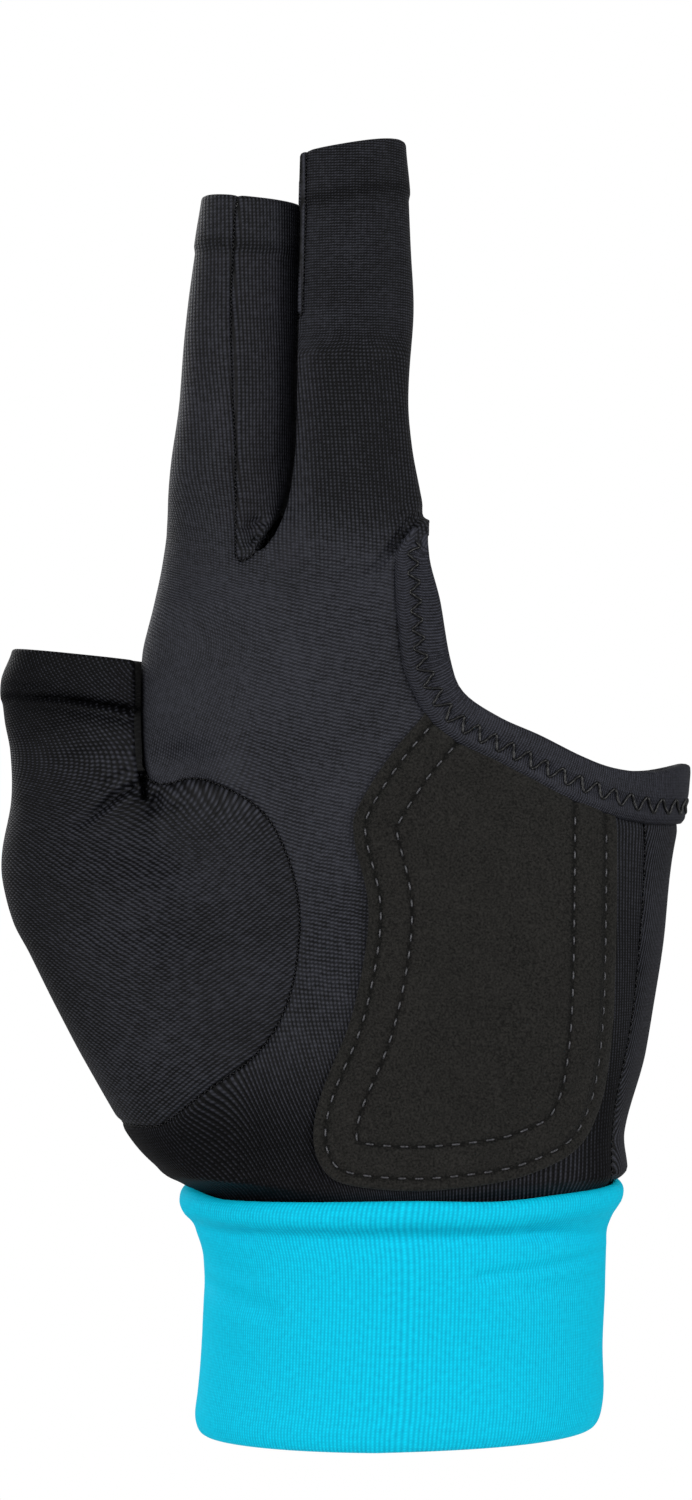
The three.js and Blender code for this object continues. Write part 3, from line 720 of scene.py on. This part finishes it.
def back_side(points):
    """Positive on the back panel."""
    x, y, z = points.T
    return np.maximum(y - BACK_SEAM_Y, beside_line(side_seam, x, z))


def inside_loop(points):
    """Positive on the cloth side of the loop's free edge."""
    return -beside_line(free_edge, points[:, 0], points[:, 2])


def inside_binding(points):
    """Positive under the tape, from its inner edge on."""
    return beside_line(binding_line, points[:, 0], points[:, 2])


def below_rims(points):
    """How far points lie below the rim of their own sleeve."""
    x, y, z = points.T
    flat_x = leaning(x, y)
    thumb, index, middle = (z0 + (flat_x - x0) * (z1 - z0) / (x1 - x0)
                            for x0, z0, x1, z1 in (THUMB_RIM, INDEX_RIM, MIDDLE_RIM))
    past_finger, past_thumb = past_slots(flat_x, z)
    return np.where(past_thumb < 0, thumb, np.where(past_finger < 0, index, middle)) - z


def above_cuff(points):
    return points[:, 2] - CUFF_TIP * points[:, 0] - BODY_BOTTOM


body = glove_net()
body = clipped(body, lambda points: below_rims(points) - RIM_ROUND)
body = clipped(body, lambda points: inside_loop(points) - RIM_ROUND)
body = clipped(body, above_cuff)

# Thumb panel
# One piece of knit round the thumb and over its ball, sewn into the palm along the arc seam. Its rows
# run aslant over the ball and level round the sleeve, which ends in a hem that is turned in.
HEM_DEPTH = 8.3
HEM_LIFT = 0.3
HEM_SHADE = 0.4
SEAM_DIP = 0.45
TAPE_DIP = 0.4
SEAM_ROUND = 0.1
KNIT_WALE = 0.62  # the real knit has a loop about every 0.4 mm, drawn coarser so that it shows
KNIT_COURSE = 0.58
SECTION_FLATNESS = 0.45
# Where painted shade darkens the knit: amounts, each with the fades across (x) and up (z) that bound it. On
# the thumb it is darker on the left side and on the hem.
THUMB_PAINTED_SHADE = [(0.45,), (0.4, ("x", -42, -58)), (0.5, ("z", 104, 116))]


def black_knit(name, dark, light):
    """Black nylon-elastane jersey: matt and slightly blue, with painted highlights on its loops and painted
    glints among its flecks.

    Where painted shade is marked on the cloth its colour is darker and its gloss duller, and below zero it
    is painted light."""
    material, tree = new_material(name)
    height, cloth = knit_height(tree, KNIT_WALE, KNIT_COURSE)
    painted_shade = add(tree, "Attribute", attribute_name="painted_shade").outputs["Fac"]
    patch = add(tree, "TexNoise", {"Vector": cloth, "Scale": 0.07, "Detail": 2.0}).outputs[0]
    fleck_and_glint = add(tree, "TexNoise", {"Vector": cloth, "Scale": 1.1, "Detail": 2.0}).outputs[0]
    # Tone: the loops' height gives painted highlights on their tops and painted shade between them, the
    # flecks are partly the yarn's own and partly painted glints, the patches are the yarn's random tone,
    # and the marked painted shade darkens it
    tone = weighed(tree, -0.36, (patch, 0.3), (fleck_and_glint, 0.5), (painted_shade, -0.35), (height, 1.0))
    colour = shades(tree, tone, dark, light, 0.18, 0.87)
    gloss = weighed(tree, 0.12, (painted_shade, -0.05))
    finish_material(tree, colour, height, 0.2, 1.0, roughness=0.6, specular=gloss)
    return material


section_turn = np.linspace(-math.pi, math.pi, 721)
section_x = rounded(np.sin(section_turn), HAND_SQUARENESS)
section_y = -rounded(np.cos(section_turn), HAND_SQUARENESS)
section_angle = np.arctan2(section_x, -section_y)
section_run = np.cumsum(np.hypot(np.diff(section_x), SECTION_FLATNESS * np.diff(section_y)))
section_run = np.concatenate([[0], section_run]) - section_run[-1] / 2


def round_section(section, x, y, start):
    """How far round its section a point lies, in millimetres, counted from the front or the back."""
    left, right, mid, deep = section
    centre, half = (left + right) / 2, (right - left) / 2
    angle = np.arctan2((x - centre) / half, -(y - mid) / deep)
    run = np.interp(angle, section_angle, section_run)
    if start == "back":
        run = np.sign(angle) * section_run[-1] - run
    return centre + half * run


def patches(rows, x, z):
    """Adds up amounts that fade in between two places across or up."""
    at = {"x": x, "z": z}
    return sum(amount * math.prod(step_between(low, high, at[axis]) for axis, low, high in fades)
               for amount, *fades in rows)


def thumb_places(points):
    """The knit's coordinates on the thumb. Over the ball its columns and rows both run aslant."""
    x, y, z = points.T
    u, v = x - 0.35 * y + 45, z - 99
    sleeve = step_between(-8, 22, v)
    across = (0.62 + 0.28 * sleeve) * u + (-0.79 + 1.22 * sleeve) * v
    along = (0.47 - 0.9 * sleeve) * u + (0.88 + 0.02 * sleeve) * v
    ribbed = 0.3 + 0.4 * step_between(-44, -24, x + 0.2 * (80 - z)) * (1 - sleeve) + 0.45 * sleeve
    return columns(across, along, ribbed, patches(THUMB_PAINTED_SHADE, x, z))


def slot_shade(points):
    """How near points lie to a slot, from 0 to 1: how much painted shade falls on the slot's walls."""
    x, y, z = points.T
    gap = np.minimum(*(np.abs(beside_line(line, leaning(x, y), z)) for line in slot_lines))
    return step_between(0.9, 0.45, gap) * np.where(x < -30, 1, step_between(140, 146, z))


def nearest_seam(points):
    return np.minimum.reduce([np.abs(side(points)) for side in (thumb_side, gusset_side, back_side)])


def edge_of_cloth(points):
    """A cut edge is round, but it stops at its seam where another panel meets it."""
    at_seam = (nearest_seam(points) < SEAM_GAP + 0.1) & (below_rims(points) > RIM_ROUND + 0.1)
    return np.where(at_seam, SEAM_ROUND, RIM_ROUND)


def knit_lift(points):
    """How far the knit stands off the body: doubled at the hems, drawn in at seams and the tape."""
    hem = HEM_LIFT * step_between(HEM_DEPTH + 0.9, HEM_DEPTH - 0.5, below_rims(points))
    seam = SEAM_DIP * np.exp(-(nearest_seam(points) / 0.7) ** 2)
    tape = TAPE_DIP * np.exp(-(inside_binding(points) / 1.1) ** 2)
    return hem - seam - tape


def panel(name, node, net, places):
    """One panel of the black jersey, with painted shade in the slots and along the hem's lower edge."""
    points, faces = shell(net, knit_lift, KNIT_WALL, edge_of_cloth)
    knit = places(points)
    # Painted shade under the hem's fold and on the walls of the slots
    knit[:, 3] += HEM_SHADE * np.exp(-((below_rims(points) - HEM_DEPTH + 0.6) / 0.9) ** 2)
    knit[:, 3] += slot_shade(points)
    piece = make_piece(name, points, faces, jersey, knit)
    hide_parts(node)
    return piece


jersey = black_knit("black_elastane_jersey", "#040405", "#313239")
thumb_net, rest = parted(body, thumb_side)
thumb = panel("thumb_panel_knit", "thumb_panel", thumb_net, thumb_places)

# Finger gusset
# A strip of the same knit between the index and middle sleeves, with the web under their slot. Its
# ribs run up the fingers.
# Painted shade over the gusset, with painted light (the minus amount) beside the finger slot, where the
# tube curves away into shade
GUSSET_PAINTED_SHADE = [(0.5,), (-0.5, ("x", -22.5, -18.5), ("z", 142, 148))]


def gusset_places(points):
    x, y, z = points.T
    return columns(x + 0.8 * y, z, 0.7, patches(GUSSET_PAINTED_SHADE, leaning(x, y), z))


gusset_net, rest = parted(rest, gusset_side)
gusset = panel("finger_gusset_knit", "finger_gusset", gusset_net, gusset_places)

# Palm and back panels
# The two large panels of the body. The back one wraps round the little-finger edge to the side
# seam. Both run on under the elastic binding, which is sewn over their edge.
UNDER_BINDING = 2.0
SIDE_WRAP = 0.9  # how fast the knit goes round the hand's edges, in mm for each mm of depth
SIDE_DEPTH = 14
# Painted shade on the palm: over the finger bases and the middle sleeve, towards the wrist and most at the
# lower left, and along the little-finger side
PALM_PAINTED_SHADE = [
    (0.4, ("z", 128, 150)), (0.15, ("x", -16, -12), ("z", 136, 150)),
    (0.3, ("x", -16, -12), ("z", 136, 146), ("z", 176, 164)), (0.3, ("z", 96, 76)),
    (0.65, ("x", 26, 31)), (0.5, ("z", 64, 46)), (0.6, ("z", 64, 46), ("x", 0, -14)),
]
# How far the knit's columns outweigh its rows, by height
PALM_RIBBED = [(52, 0.95), (66, 0.6), (80, 0.3), (132, 0.3), (144, 0.7)]
# How far the knit's columns lean to the right on their way up, by height
WALE_LEAN = [
    (36, -0.6), (50, -0.5), (70, -0.1), (85, 0.1), (120, 0.15), (142, -0.05), (165, -0.1), (178, 0),
    (210, 0),
]
# How much the stretched rows fall to the right, by height
ROW_SLANT = [(36, -0.5), (55, -0.5), (80, 0.8), (95, 1), (130, 1), (150, 0.2), (160, 0), (210, 0)]


def by_height(rows, z):
    return np.interp(z, *np.array(rows, float).T)


lean_z = np.linspace(WALE_LEAN[0][0], WALE_LEAN[-1][0], 300)
lean_drift = np.cumsum(by_height(WALE_LEAN, lean_z)) * (lean_z[1] - lean_z[0])
lean_drift -= np.interp(85, lean_z, lean_drift)


def body_across(points, start):
    """Millimetres round the hand, and round each sleeve above the knuckles."""
    x, y, z = points.T
    side = SIDE_WRAP * (step_between(20, 36, x) - step_between(-22, -38, x))
    hand = x + side * (SIDE_DEPTH + y if start == "front" else SIDE_DEPTH - y)
    if start == "back":
        past_edge = np.maximum(at_height("palm", z)[1] - x, 0)
        hand += 2 * past_edge * step_between(2, -2, y) * step_between(20, 30, x)
    sides = zip(at_height("index", z), at_height("middle", z))
    finger = round_section([np.where(past_slots(x, z)[0] < 0, a, b) for a, b in sides], x, y, start)
    return hand + (finger - hand) * step_between(132, 152, z)


def palm_places(points):
    """The knit's coordinates on the palm: pulled aslant beside the thumb, and straight up the fingers."""
    x, y, z = points.T
    on_middle = past_slots(x, z)[0] > 0
    heel = step_between(85, 70, z) * step_between(-14, 10, x)
    across = body_across(points, "front") - (1 - heel) * np.interp(z, lean_z, lean_drift)
    pulled = step_between(-20, -31, x) * step_between(90, 102, z) * step_between(132, 120, z)
    across = across - 0.4 * pulled * (z - 112) - 0.3 * np.maximum(across - 27, 0)
    slant = 0.2 * x - 0.006 * np.maximum(-10 - x, 0) ** 2
    along = z + slant * by_height(ROW_SLANT, z)
    # The middle sleeve is least stretched at its top, so its knit is finer there
    finer = 0.35 * step_between(168.5, 172.5, z) * on_middle
    across = across + finer * (across + 9)
    along = along + finer * (z - 170.4)
    ribbed = by_height(PALM_RIBBED, z)
    ribbed = np.where(x > FINGER_SLOT[0][0], ribbed - 0.32 * step_between(164, 174, z), ribbed)
    ribbed = np.maximum(ribbed, 0.85 * step_between(24, 30, x)) + 0.35 * pulled
    return columns(across, along, ribbed, patches(PALM_PAINTED_SHADE, x, z))


def back_places(points):
    x, y, z = points.T
    # The back panel gets an even painted shade
    return columns(body_across(points, "back"), z, 0.5 + 0.42 * step_between(20, 34, x), 0.4)


def under_tape(points):
    """Positive on the cloth up to where the tape hides it, and above the tape's end."""
    return np.maximum(UNDER_BINDING - inside_binding(points), points[:, 2] - 141.2)


back_net, palm_net = parted(clipped(rest, under_tape), back_side)
palm = panel("palm_panel_knit", "palm_panel", palm_net, palm_places)
back = panel("back_panel_knit", "back_panel", back_net, back_places)

# Seam stitches
# Black polyester thread that joins the panels. It winds to and fro across each seam and pulls both
# edges down into a groove.
SEAM_THREAD = 0.24
SEAM_SWING = 0.16
SEAM_PERIOD = 1.2
THREAD_SIDES = 6
THREAD_STEP = 0.12
# Each seam, and where its stitches show. The gusset's stay hidden on the middle sleeve's side of the slot.
SEAMS = [
    (gusset_side, lambda x, y, z: (
        (past_slots(x, z)[0] < -1.2) | (z > 170) | (z < 138)) & (np.abs(y - 1.0) > 3.5)),
    (thumb_side, lambda x, y, z: (z < 103.5) & (np.abs(y - BACK_SEAM_Y) > 0.8)),
    (back_side, lambda x, y, z: (y < BACK_SEAM_Y - 1) & (x > 20)),
]


def lines_on(net, field):
    """The lines on a net along which a field is zero, longest first, each as a row of points."""
    points, faces = net
    value = field(points)
    value[value == 0] = 1e-9
    ends = np.sort(sides_of(faces), axis=1).reshape(3, -1, 2)
    crossed = (value[ends[..., 0]] > 0) != (value[ends[..., 1]] > 0)
    hit = crossed.sum(0) == 2
    ends, crossed = ends[:, hit].transpose(1, 0, 2), crossed[:, hit].T
    pairs = ends[crossed].reshape(-1, 2)
    edges, which = np.unique(pairs, axis=0, return_inverse=True)
    a, b = edges.T
    share = (value[a] / (value[a] - value[b]))[:, None]
    place = points[a] + share * (points[b] - points[a])
    beside = {}
    for first, second in which.reshape(-1, 2).tolist():
        beside.setdefault(first, []).append(second)
        beside.setdefault(second, []).append(first)
    lines, seen = [], set()
    for start in sorted(beside, key=lambda n: (len(beside[n]), n)):
        if start in seen:
            continue
        row = [start]
        seen.add(start)
        while True:
            onward = [n for n in beside[row[-1]] if n not in seen]
            if not onward:
                break
            row.append(onward[0])
            seen.add(onward[0])
        lines.append(place[row])
    return sorted(lines, key=len, reverse=True)


def thread_mesh(rows, up, width):
    """Round threads, each through one row of points. up points out of the cloth at each point."""
    count, steps, _ = rows.shape
    along = unit(np.gradient(rows, axis=1))
    beside = unit(np.cross(along, up))
    turn = np.linspace(0, 2 * math.pi, THREAD_SIDES, endpoint=False)[:, None]
    thin = np.ones((steps, 1, 1))
    thin[[0, -1]] = 0.4
    ring = np.cos(turn) * beside[:, :, None] + np.sin(turn) * np.cross(beside, along)[:, :, None]
    points = rows[:, :, None] + width / 2 * thin * ring
    index = np.arange(count * steps * THREAD_SIDES).reshape(count, steps, THREAD_SIDES)
    a, c = index[:, :-1], index[:, 1:]
    b, d = np.roll(a, -1, axis=2), np.roll(c, -1, axis=2)
    faces = [columns(a, d, b).reshape(-1, 3), columns(a, c, d).reshape(-1, 3)]
    for k in range(1, THREAD_SIDES - 1):
        faces.append(columns(index[:, 0, 0], index[:, 0, k], index[:, 0, k + 1]))
        faces.append(columns(index[:, -1, 0], index[:, -1, k + 1], index[:, -1, k]))
    return points.reshape(-1, 3), np.vstack(faces)


def joined(meshes):
    """Several meshes as one."""
    counts = np.cumsum([0] + [len(points) for points, _ in meshes])
    return (np.vstack([points for points, _ in meshes]),
            np.vstack([faces + first for (_, faces), first in zip(meshes, counts)]))


def thread_path(line, swing, period, lift, rise):
    """A thread that swings from side to side of a line, a height above the cloth. Points and normals."""
    line = spaced(line, THREAD_STEP)
    side = unit(np.cross(outward(line), np.gradient(line, axis=0)))
    wave = np.sin(2 * math.pi * THREAD_STEP * np.arange(len(line)) / period)
    bent = np.arcsin(0.85 * wave) / math.asin(0.85)
    line = settle(line + (swing(line) * bent)[:, None] * side, rounds=2)
    up = outward(line)
    height = lift(line) + rise(wave)
    return (line + height[:, None] * up)[None], up[None]


def sewing_thread(name, dark, light, gloss):
    """Spun polyester thread: two twisted plies, whose gloss gives each stitch a glint."""
    material, tree = new_material(name)
    place = add(tree, "TexCoord").outputs["Object"]
    ply = add(tree, "TexNoise", {"Vector": place, "Scale": 4200.0, "Detail": 1.0}).outputs[0]
    colour = shades(tree, ply, dark, light, 0.35, 0.65)
    finish_material(tree, colour, ply, 0.05, 0.6, roughness=0.38, specular=gloss)
    return material


seam_threads = []
for field, shown in SEAMS:
    for seam_line in lines_on(body, field):
        ends = np.flatnonzero(np.diff(shown(*seam_line.T).astype(int), prepend=0, append=0))
        for first, last in ends.reshape(-1, 2):
            if last - first > 20:
                path, path_up = thread_path(
                    seam_line[first:last], lambda points: SEAM_SWING, SEAM_PERIOD,
                    knit_lift, lambda wave: 0.04 - 0.2 * wave ** 4)
                seam_threads.append(thread_mesh(path, path_up, SEAM_THREAD))
seam_thread = sewing_thread("black_seam_thread", "#050506", "#131316", 0.15)
seams = make_piece("seam_stitches", *joined(seam_threads), seam_thread)

# Edge binding
# Elastic tape folded over the loop's edge and held by a zigzag row, so it stands proud on both faces.
# Its ribs run across the tape. The zigzag is black thread that shines a little on top.
BINDING_LIFT = 0.8
BINDING_THICKNESS = 2.1
BINDING_ROUND = 0.5
TAPE_TOP = 141.6
ZIGZAG_IN = 2.5
ZIGZAG_SWING = 1.15
ZIGZAG_TOP = 139.6
ZIGZAG_PERIOD = 2.95
ZIGZAG_THREAD = 0.48


def zigzag_line(points):
    """Zero along the middle of the zigzag, which keeps to the tape where that gets narrow."""
    across = inside_binding(points)
    return across - np.minimum(ZIGZAG_IN, 0.42 * np.maximum(across + inside_loop(points), 0))


def zigzag_swing(points):
    """The row is narrower up beside the fingers."""
    return ZIGZAG_SWING * (1 - 0.28 * step_between(116, 126, points[:, 2]))


def binding_lift(points):
    """The tape stands proud, is pressed down along the zigzag and thins out where its ends meet."""
    across, edge = inside_binding(points), inside_loop(points)
    proud = BINDING_LIFT * step_between(-1.0, 0.8, across) * step_between(0.3, 4.5, across + edge)
    proud *= step_between(TAPE_TOP + 0.5, TAPE_TOP - 6, points[:, 2])
    pressed = 0.35 * np.exp(-(zigzag_line(points) / 0.9) ** 2)
    return proud - pressed * step_between(0.3, 4.5, across + edge) - 0.2 * np.exp(-(edge / 0.9) ** 2)


def binding_places(points):
    far = nearest_on_line(binding_line, points[:, 0], points[:, 2])[1]
    return columns(1.4 * (far + points[:, 1]), 1.2 * inside_binding(points), 0.75)


binding_net = clipped(clipped(rest, inside_binding), lambda points: TAPE_TOP - points[:, 2])
binding_net = refined(binding_net)
tape_knit = black_knit("black_elastic_binding", "#040405", "#303139")
tape_points, tape_faces = shell(
    binding_net, binding_lift, BINDING_THICKNESS, lambda points: BINDING_ROUND)
binding = make_piece("edge_binding_tape", tape_points, tape_faces, tape_knit, binding_places(tape_points))
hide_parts("edge_binding")

zigzag_rows = []
for tape_line in lines_on(binding_net, zigzag_line):
    tape_line = tape_line[tape_line[:, 2] < ZIGZAG_TOP]
    if len(tape_line) > 60:
        path, path_up = thread_path(
            tape_line, zigzag_swing, ZIGZAG_PERIOD, binding_lift, lambda wave: 0.16 - 0.26 * wave ** 8)
        zigzag_rows.append(thread_mesh(path, path_up, ZIGZAG_THREAD))
glossy_thread = sewing_thread("black_glossy_thread", "#020203", "#0b0b0d", 0.3)
zigzag = make_piece("binding_zigzag_stitch", *joined(zigzag_rows), glossy_thread)

# Heel pad
# Charcoal synthetic suede, about 1 mm thick, laid on the knit over the heel of the hand and held by
# two rows of dark grey running stitch. Its top edge is caught under the binding.
PAD_EDGE = [
    (3.9, 112.4), (-1.5, 105.9), (-6.4, 97.9), (-6.9, 93.3), (-4.7, 81.7), (-7.2, 66.4), (-11.8, 54.8),
    (-13.2, 48.7), (-12.3, 44), (-8.7, 41), (2.8, 40), (15.1, 41.4), (22.1, 43.6), (26.7, 46.3),
    (29.3, 50.5), (31, 56.4), (32.2, 68.7), (33, 97),
]
PAD_LIFT = 1.0
PAD_THICKNESS = 0.95
PAD_ROUND = 0.4
PAD_ROWS_IN = (1.5, 6.3)
PAD_STITCH_PITCH = 2.65
PAD_STITCH_LENGTH = 1.35
PAD_THREAD = 0.3
pad_line = np.vstack([smooth_line(PAD_EDGE, 1.2), [(34, 130), (5, 130), (3.9, 112.4)]])


def on_pad(points):
    """Positive inside the pad's outline on the palm side."""
    x, y, z = points.T
    return np.where(y < 0, beside_line(pad_line, x, z), -5)


def charcoal_suede():
    """Synthetic suede: a dense short nap, warm charcoal and matt, darker along the stitch rows, partly from
    its nap pressed flat and partly from painted shade in the grooves there.
    """
    material, tree = new_material("charcoal_suede")
    cloth = add(tree, "Attribute", attribute_name="cloth").outputs["Vector"]
    pressed = add(tree, "Attribute", attribute_name="painted_shade").outputs["Fac"]
    nap = add(tree, "TexNoise", {"Vector": cloth, "Scale": 3.0, "Detail": 3.0}).outputs[0]
    cloud = add(tree, "TexNoise", {"Vector": cloth, "Scale": 0.2, "Detail": 3.0}).outputs[0]
    # Along the stitch rows the tone is darkened by the pressed nap and by painted shade in the grooves
    tone = weighed(tree, 0.0, (cloud, 0.12), (pressed, -0.2), (nap, 0.88))
    colour = shades(tree, tone, "#070706", "#242321", 0.3, 0.7)
    finish_material(tree, colour, nap, 0.3, 0.7, roughness=0.95, specular=0.06,
                    sheen_weight=0.04, sheen_roughness=0.6)
    return material


pad_net = refined(clipped(clipped(palm_net, on_pad), lambda points: 1.0 - inside_binding(points)))
pad_rows = []
for row_in in PAD_ROWS_IN:
    row = lines_on(pad_net, lambda points: on_pad(points) - row_in)[0]
    pad_rows.append(row[inside_binding(row) < -0.4])


def pad_lift(points):
    """The suede stands off the knit, pulled down at both rows and caught under the tape at the top."""
    inside = on_pad(points)
    lift = PAD_LIFT - 0.2 * np.exp(-(inside / 0.7) ** 2) + 0.2 * step_between(7.5, 13, inside)
    for row_in in PAD_ROWS_IN:
        lift -= 0.38 * np.exp(-((inside - row_in) / 0.6) ** 2)
    return lift - 0.75 * step_between(-3.0, 0.5, inside_binding(points))


def dashes(line, pitch, length, lift, rise):
    """Separate stitches along a line, one for each pitch, whose ends dive into the cloth."""
    share = np.linspace(-1, 1, 9)
    middles = (np.arange(int(far_along(line)[-1] / pitch)) + 0.5) * pitch
    rows = points_along(line, middles[:, None] + share * length / 2)
    flat = settle(rows.reshape(-1, 3), rounds=2)
    up = outward(flat)
    height = lift(flat).reshape(rows.shape[:2]) + rise - (rise + 0.25) * share ** 4
    points = flat + height.reshape(-1, 1) * up
    return points.reshape(rows.shape), up.reshape(rows.shape)


pad_points, pad_faces = shell(pad_net, pad_lift, PAD_THICKNESS, lambda points: PAD_ROUND)
# Painted shade along both stitch rows, where the nap is also pressed
pad_pressed_shade = sum(np.exp(-((on_pad(pad_points) - row_in) / 0.36) ** 2) for row_in in PAD_ROWS_IN)
pad_places = np.column_stack([pad_points, pad_pressed_shade])
pad = make_piece("heel_pad_suede", pad_points, pad_faces, charcoal_suede(), pad_places)
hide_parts("heel_pad")

grey_thread = sewing_thread("grey_polyester_thread", "#1e1e20", "#444448", 0.35)
pad_stitches = joined([
    thread_mesh(*dashes(row, PAD_STITCH_PITCH, PAD_STITCH_LENGTH, pad_lift, 0.1), PAD_THREAD)
    for row in pad_rows
])
running = make_piece("pad_running_stitch", *pad_stitches, grey_thread)

# Camera, light and floor
# The photograph's view: level with the middle of the glove, palm side on, soft daylight from the front.
CAMERA_PLACE = (-8.57 * MM, -560 * MM, 107.1 * MM)
LIGHT_AIM = np.array([-0.01, 0, 0.1])
FLOOR_RADIUS = 0.17
FLOOR_FADE = (0.05, 0.165)
FLOOR_DROP = 0.05
camera = new_object("camera", bpy.data.cameras.new("camera"))
camera.data.lens = 84.67
camera.location = CAMERA_PLACE
camera.rotation_euler = (math.pi / 2, 0, 0)
bpy.context.scene.camera = camera


def soft_light(name, place, size, power):
    """A soft box that faces the middle of the glove."""
    light = new_object(name, bpy.data.lights.new(name, "AREA"))
    light.data.size = size
    light.data.energy = power
    light.location = place
    x, y, z = LIGHT_AIM - np.array(place)
    light.rotation_euler = (math.atan2(math.hypot(x, y), -z), 0, math.atan2(-x, y))


soft_light("left_light", (-0.8, -0.6, 0.3), 0.7, 9.5)
soft_light("right_light", (0.8, -0.6, 0.3), 0.7, 9.5)
soft_light("front_light", (0.05, -1.1, 0.6), 0.5, 2.0)
soft_light("back_light", (-0.75, 0.95, 0.6), 0.8, 6.5)

world = bpy.data.worlds.new("studio")
world.use_nodes = True
world.node_tree.nodes.clear()
view_ray = add(world.node_tree, "LightPath").outputs["Is Camera Ray"]
strength = weighed(world.node_tree, 0.36, (view_ray, 0.64))
background = add(world.node_tree, "Background", {"Color": (1, 1, 1, 1), "Strength": strength})
add(world.node_tree, "OutputWorld", {"Surface": background.outputs[0]})
bpy.context.scene.world = world
bpy.context.scene.view_settings.view_transform = "Standard"


def pale_floor():
    """A plain off-white disc that fades out round the glove, so that it has no edge."""
    material, tree = new_material("off_white_paper")
    place = add(tree, "TexCoord").outputs["Object"]
    flat = add(tree, "VectorMath", {0: place, 1: (1.0, 1.0, 0.0)}, operation="MULTIPLY")
    away = add(tree, "VectorMath", {0: flat.outputs[0]}, operation="LENGTH").outputs["Value"]
    fade = {"Value": away, "From Min": FLOOR_FADE[0], "From Max": FLOOR_FADE[1]}
    faded = add(tree, "MapRange", fade, interpolation_type="SMOOTHSTEP").outputs[0]
    paper = add(tree, "BsdfDiffuse", {"Color": linear("#f4f4f2")})
    clear = add(tree, "BsdfTransparent")
    mixed = add(tree, "MixShader", {0: faded, 1: paper.outputs[0], 2: clear.outputs[0]})
    add(tree, "OutputMaterial", {"Surface": mixed.outputs[0]})
    turn = np.linspace(0, 2 * math.pi, 64, endpoint=False)
    rim = FLOOR_RADIUS * columns(np.cos(turn), np.sin(turn), 0)
    mesh = bpy.data.meshes.new("floor")
    mesh.from_pydata(rim.tolist(), [], [list(range(len(turn)))])
    mesh.materials.append(material)
    floor = new_object("floor", mesh)
    floor.location = (0, 0, -FLOOR_DROP)


pale_floor()
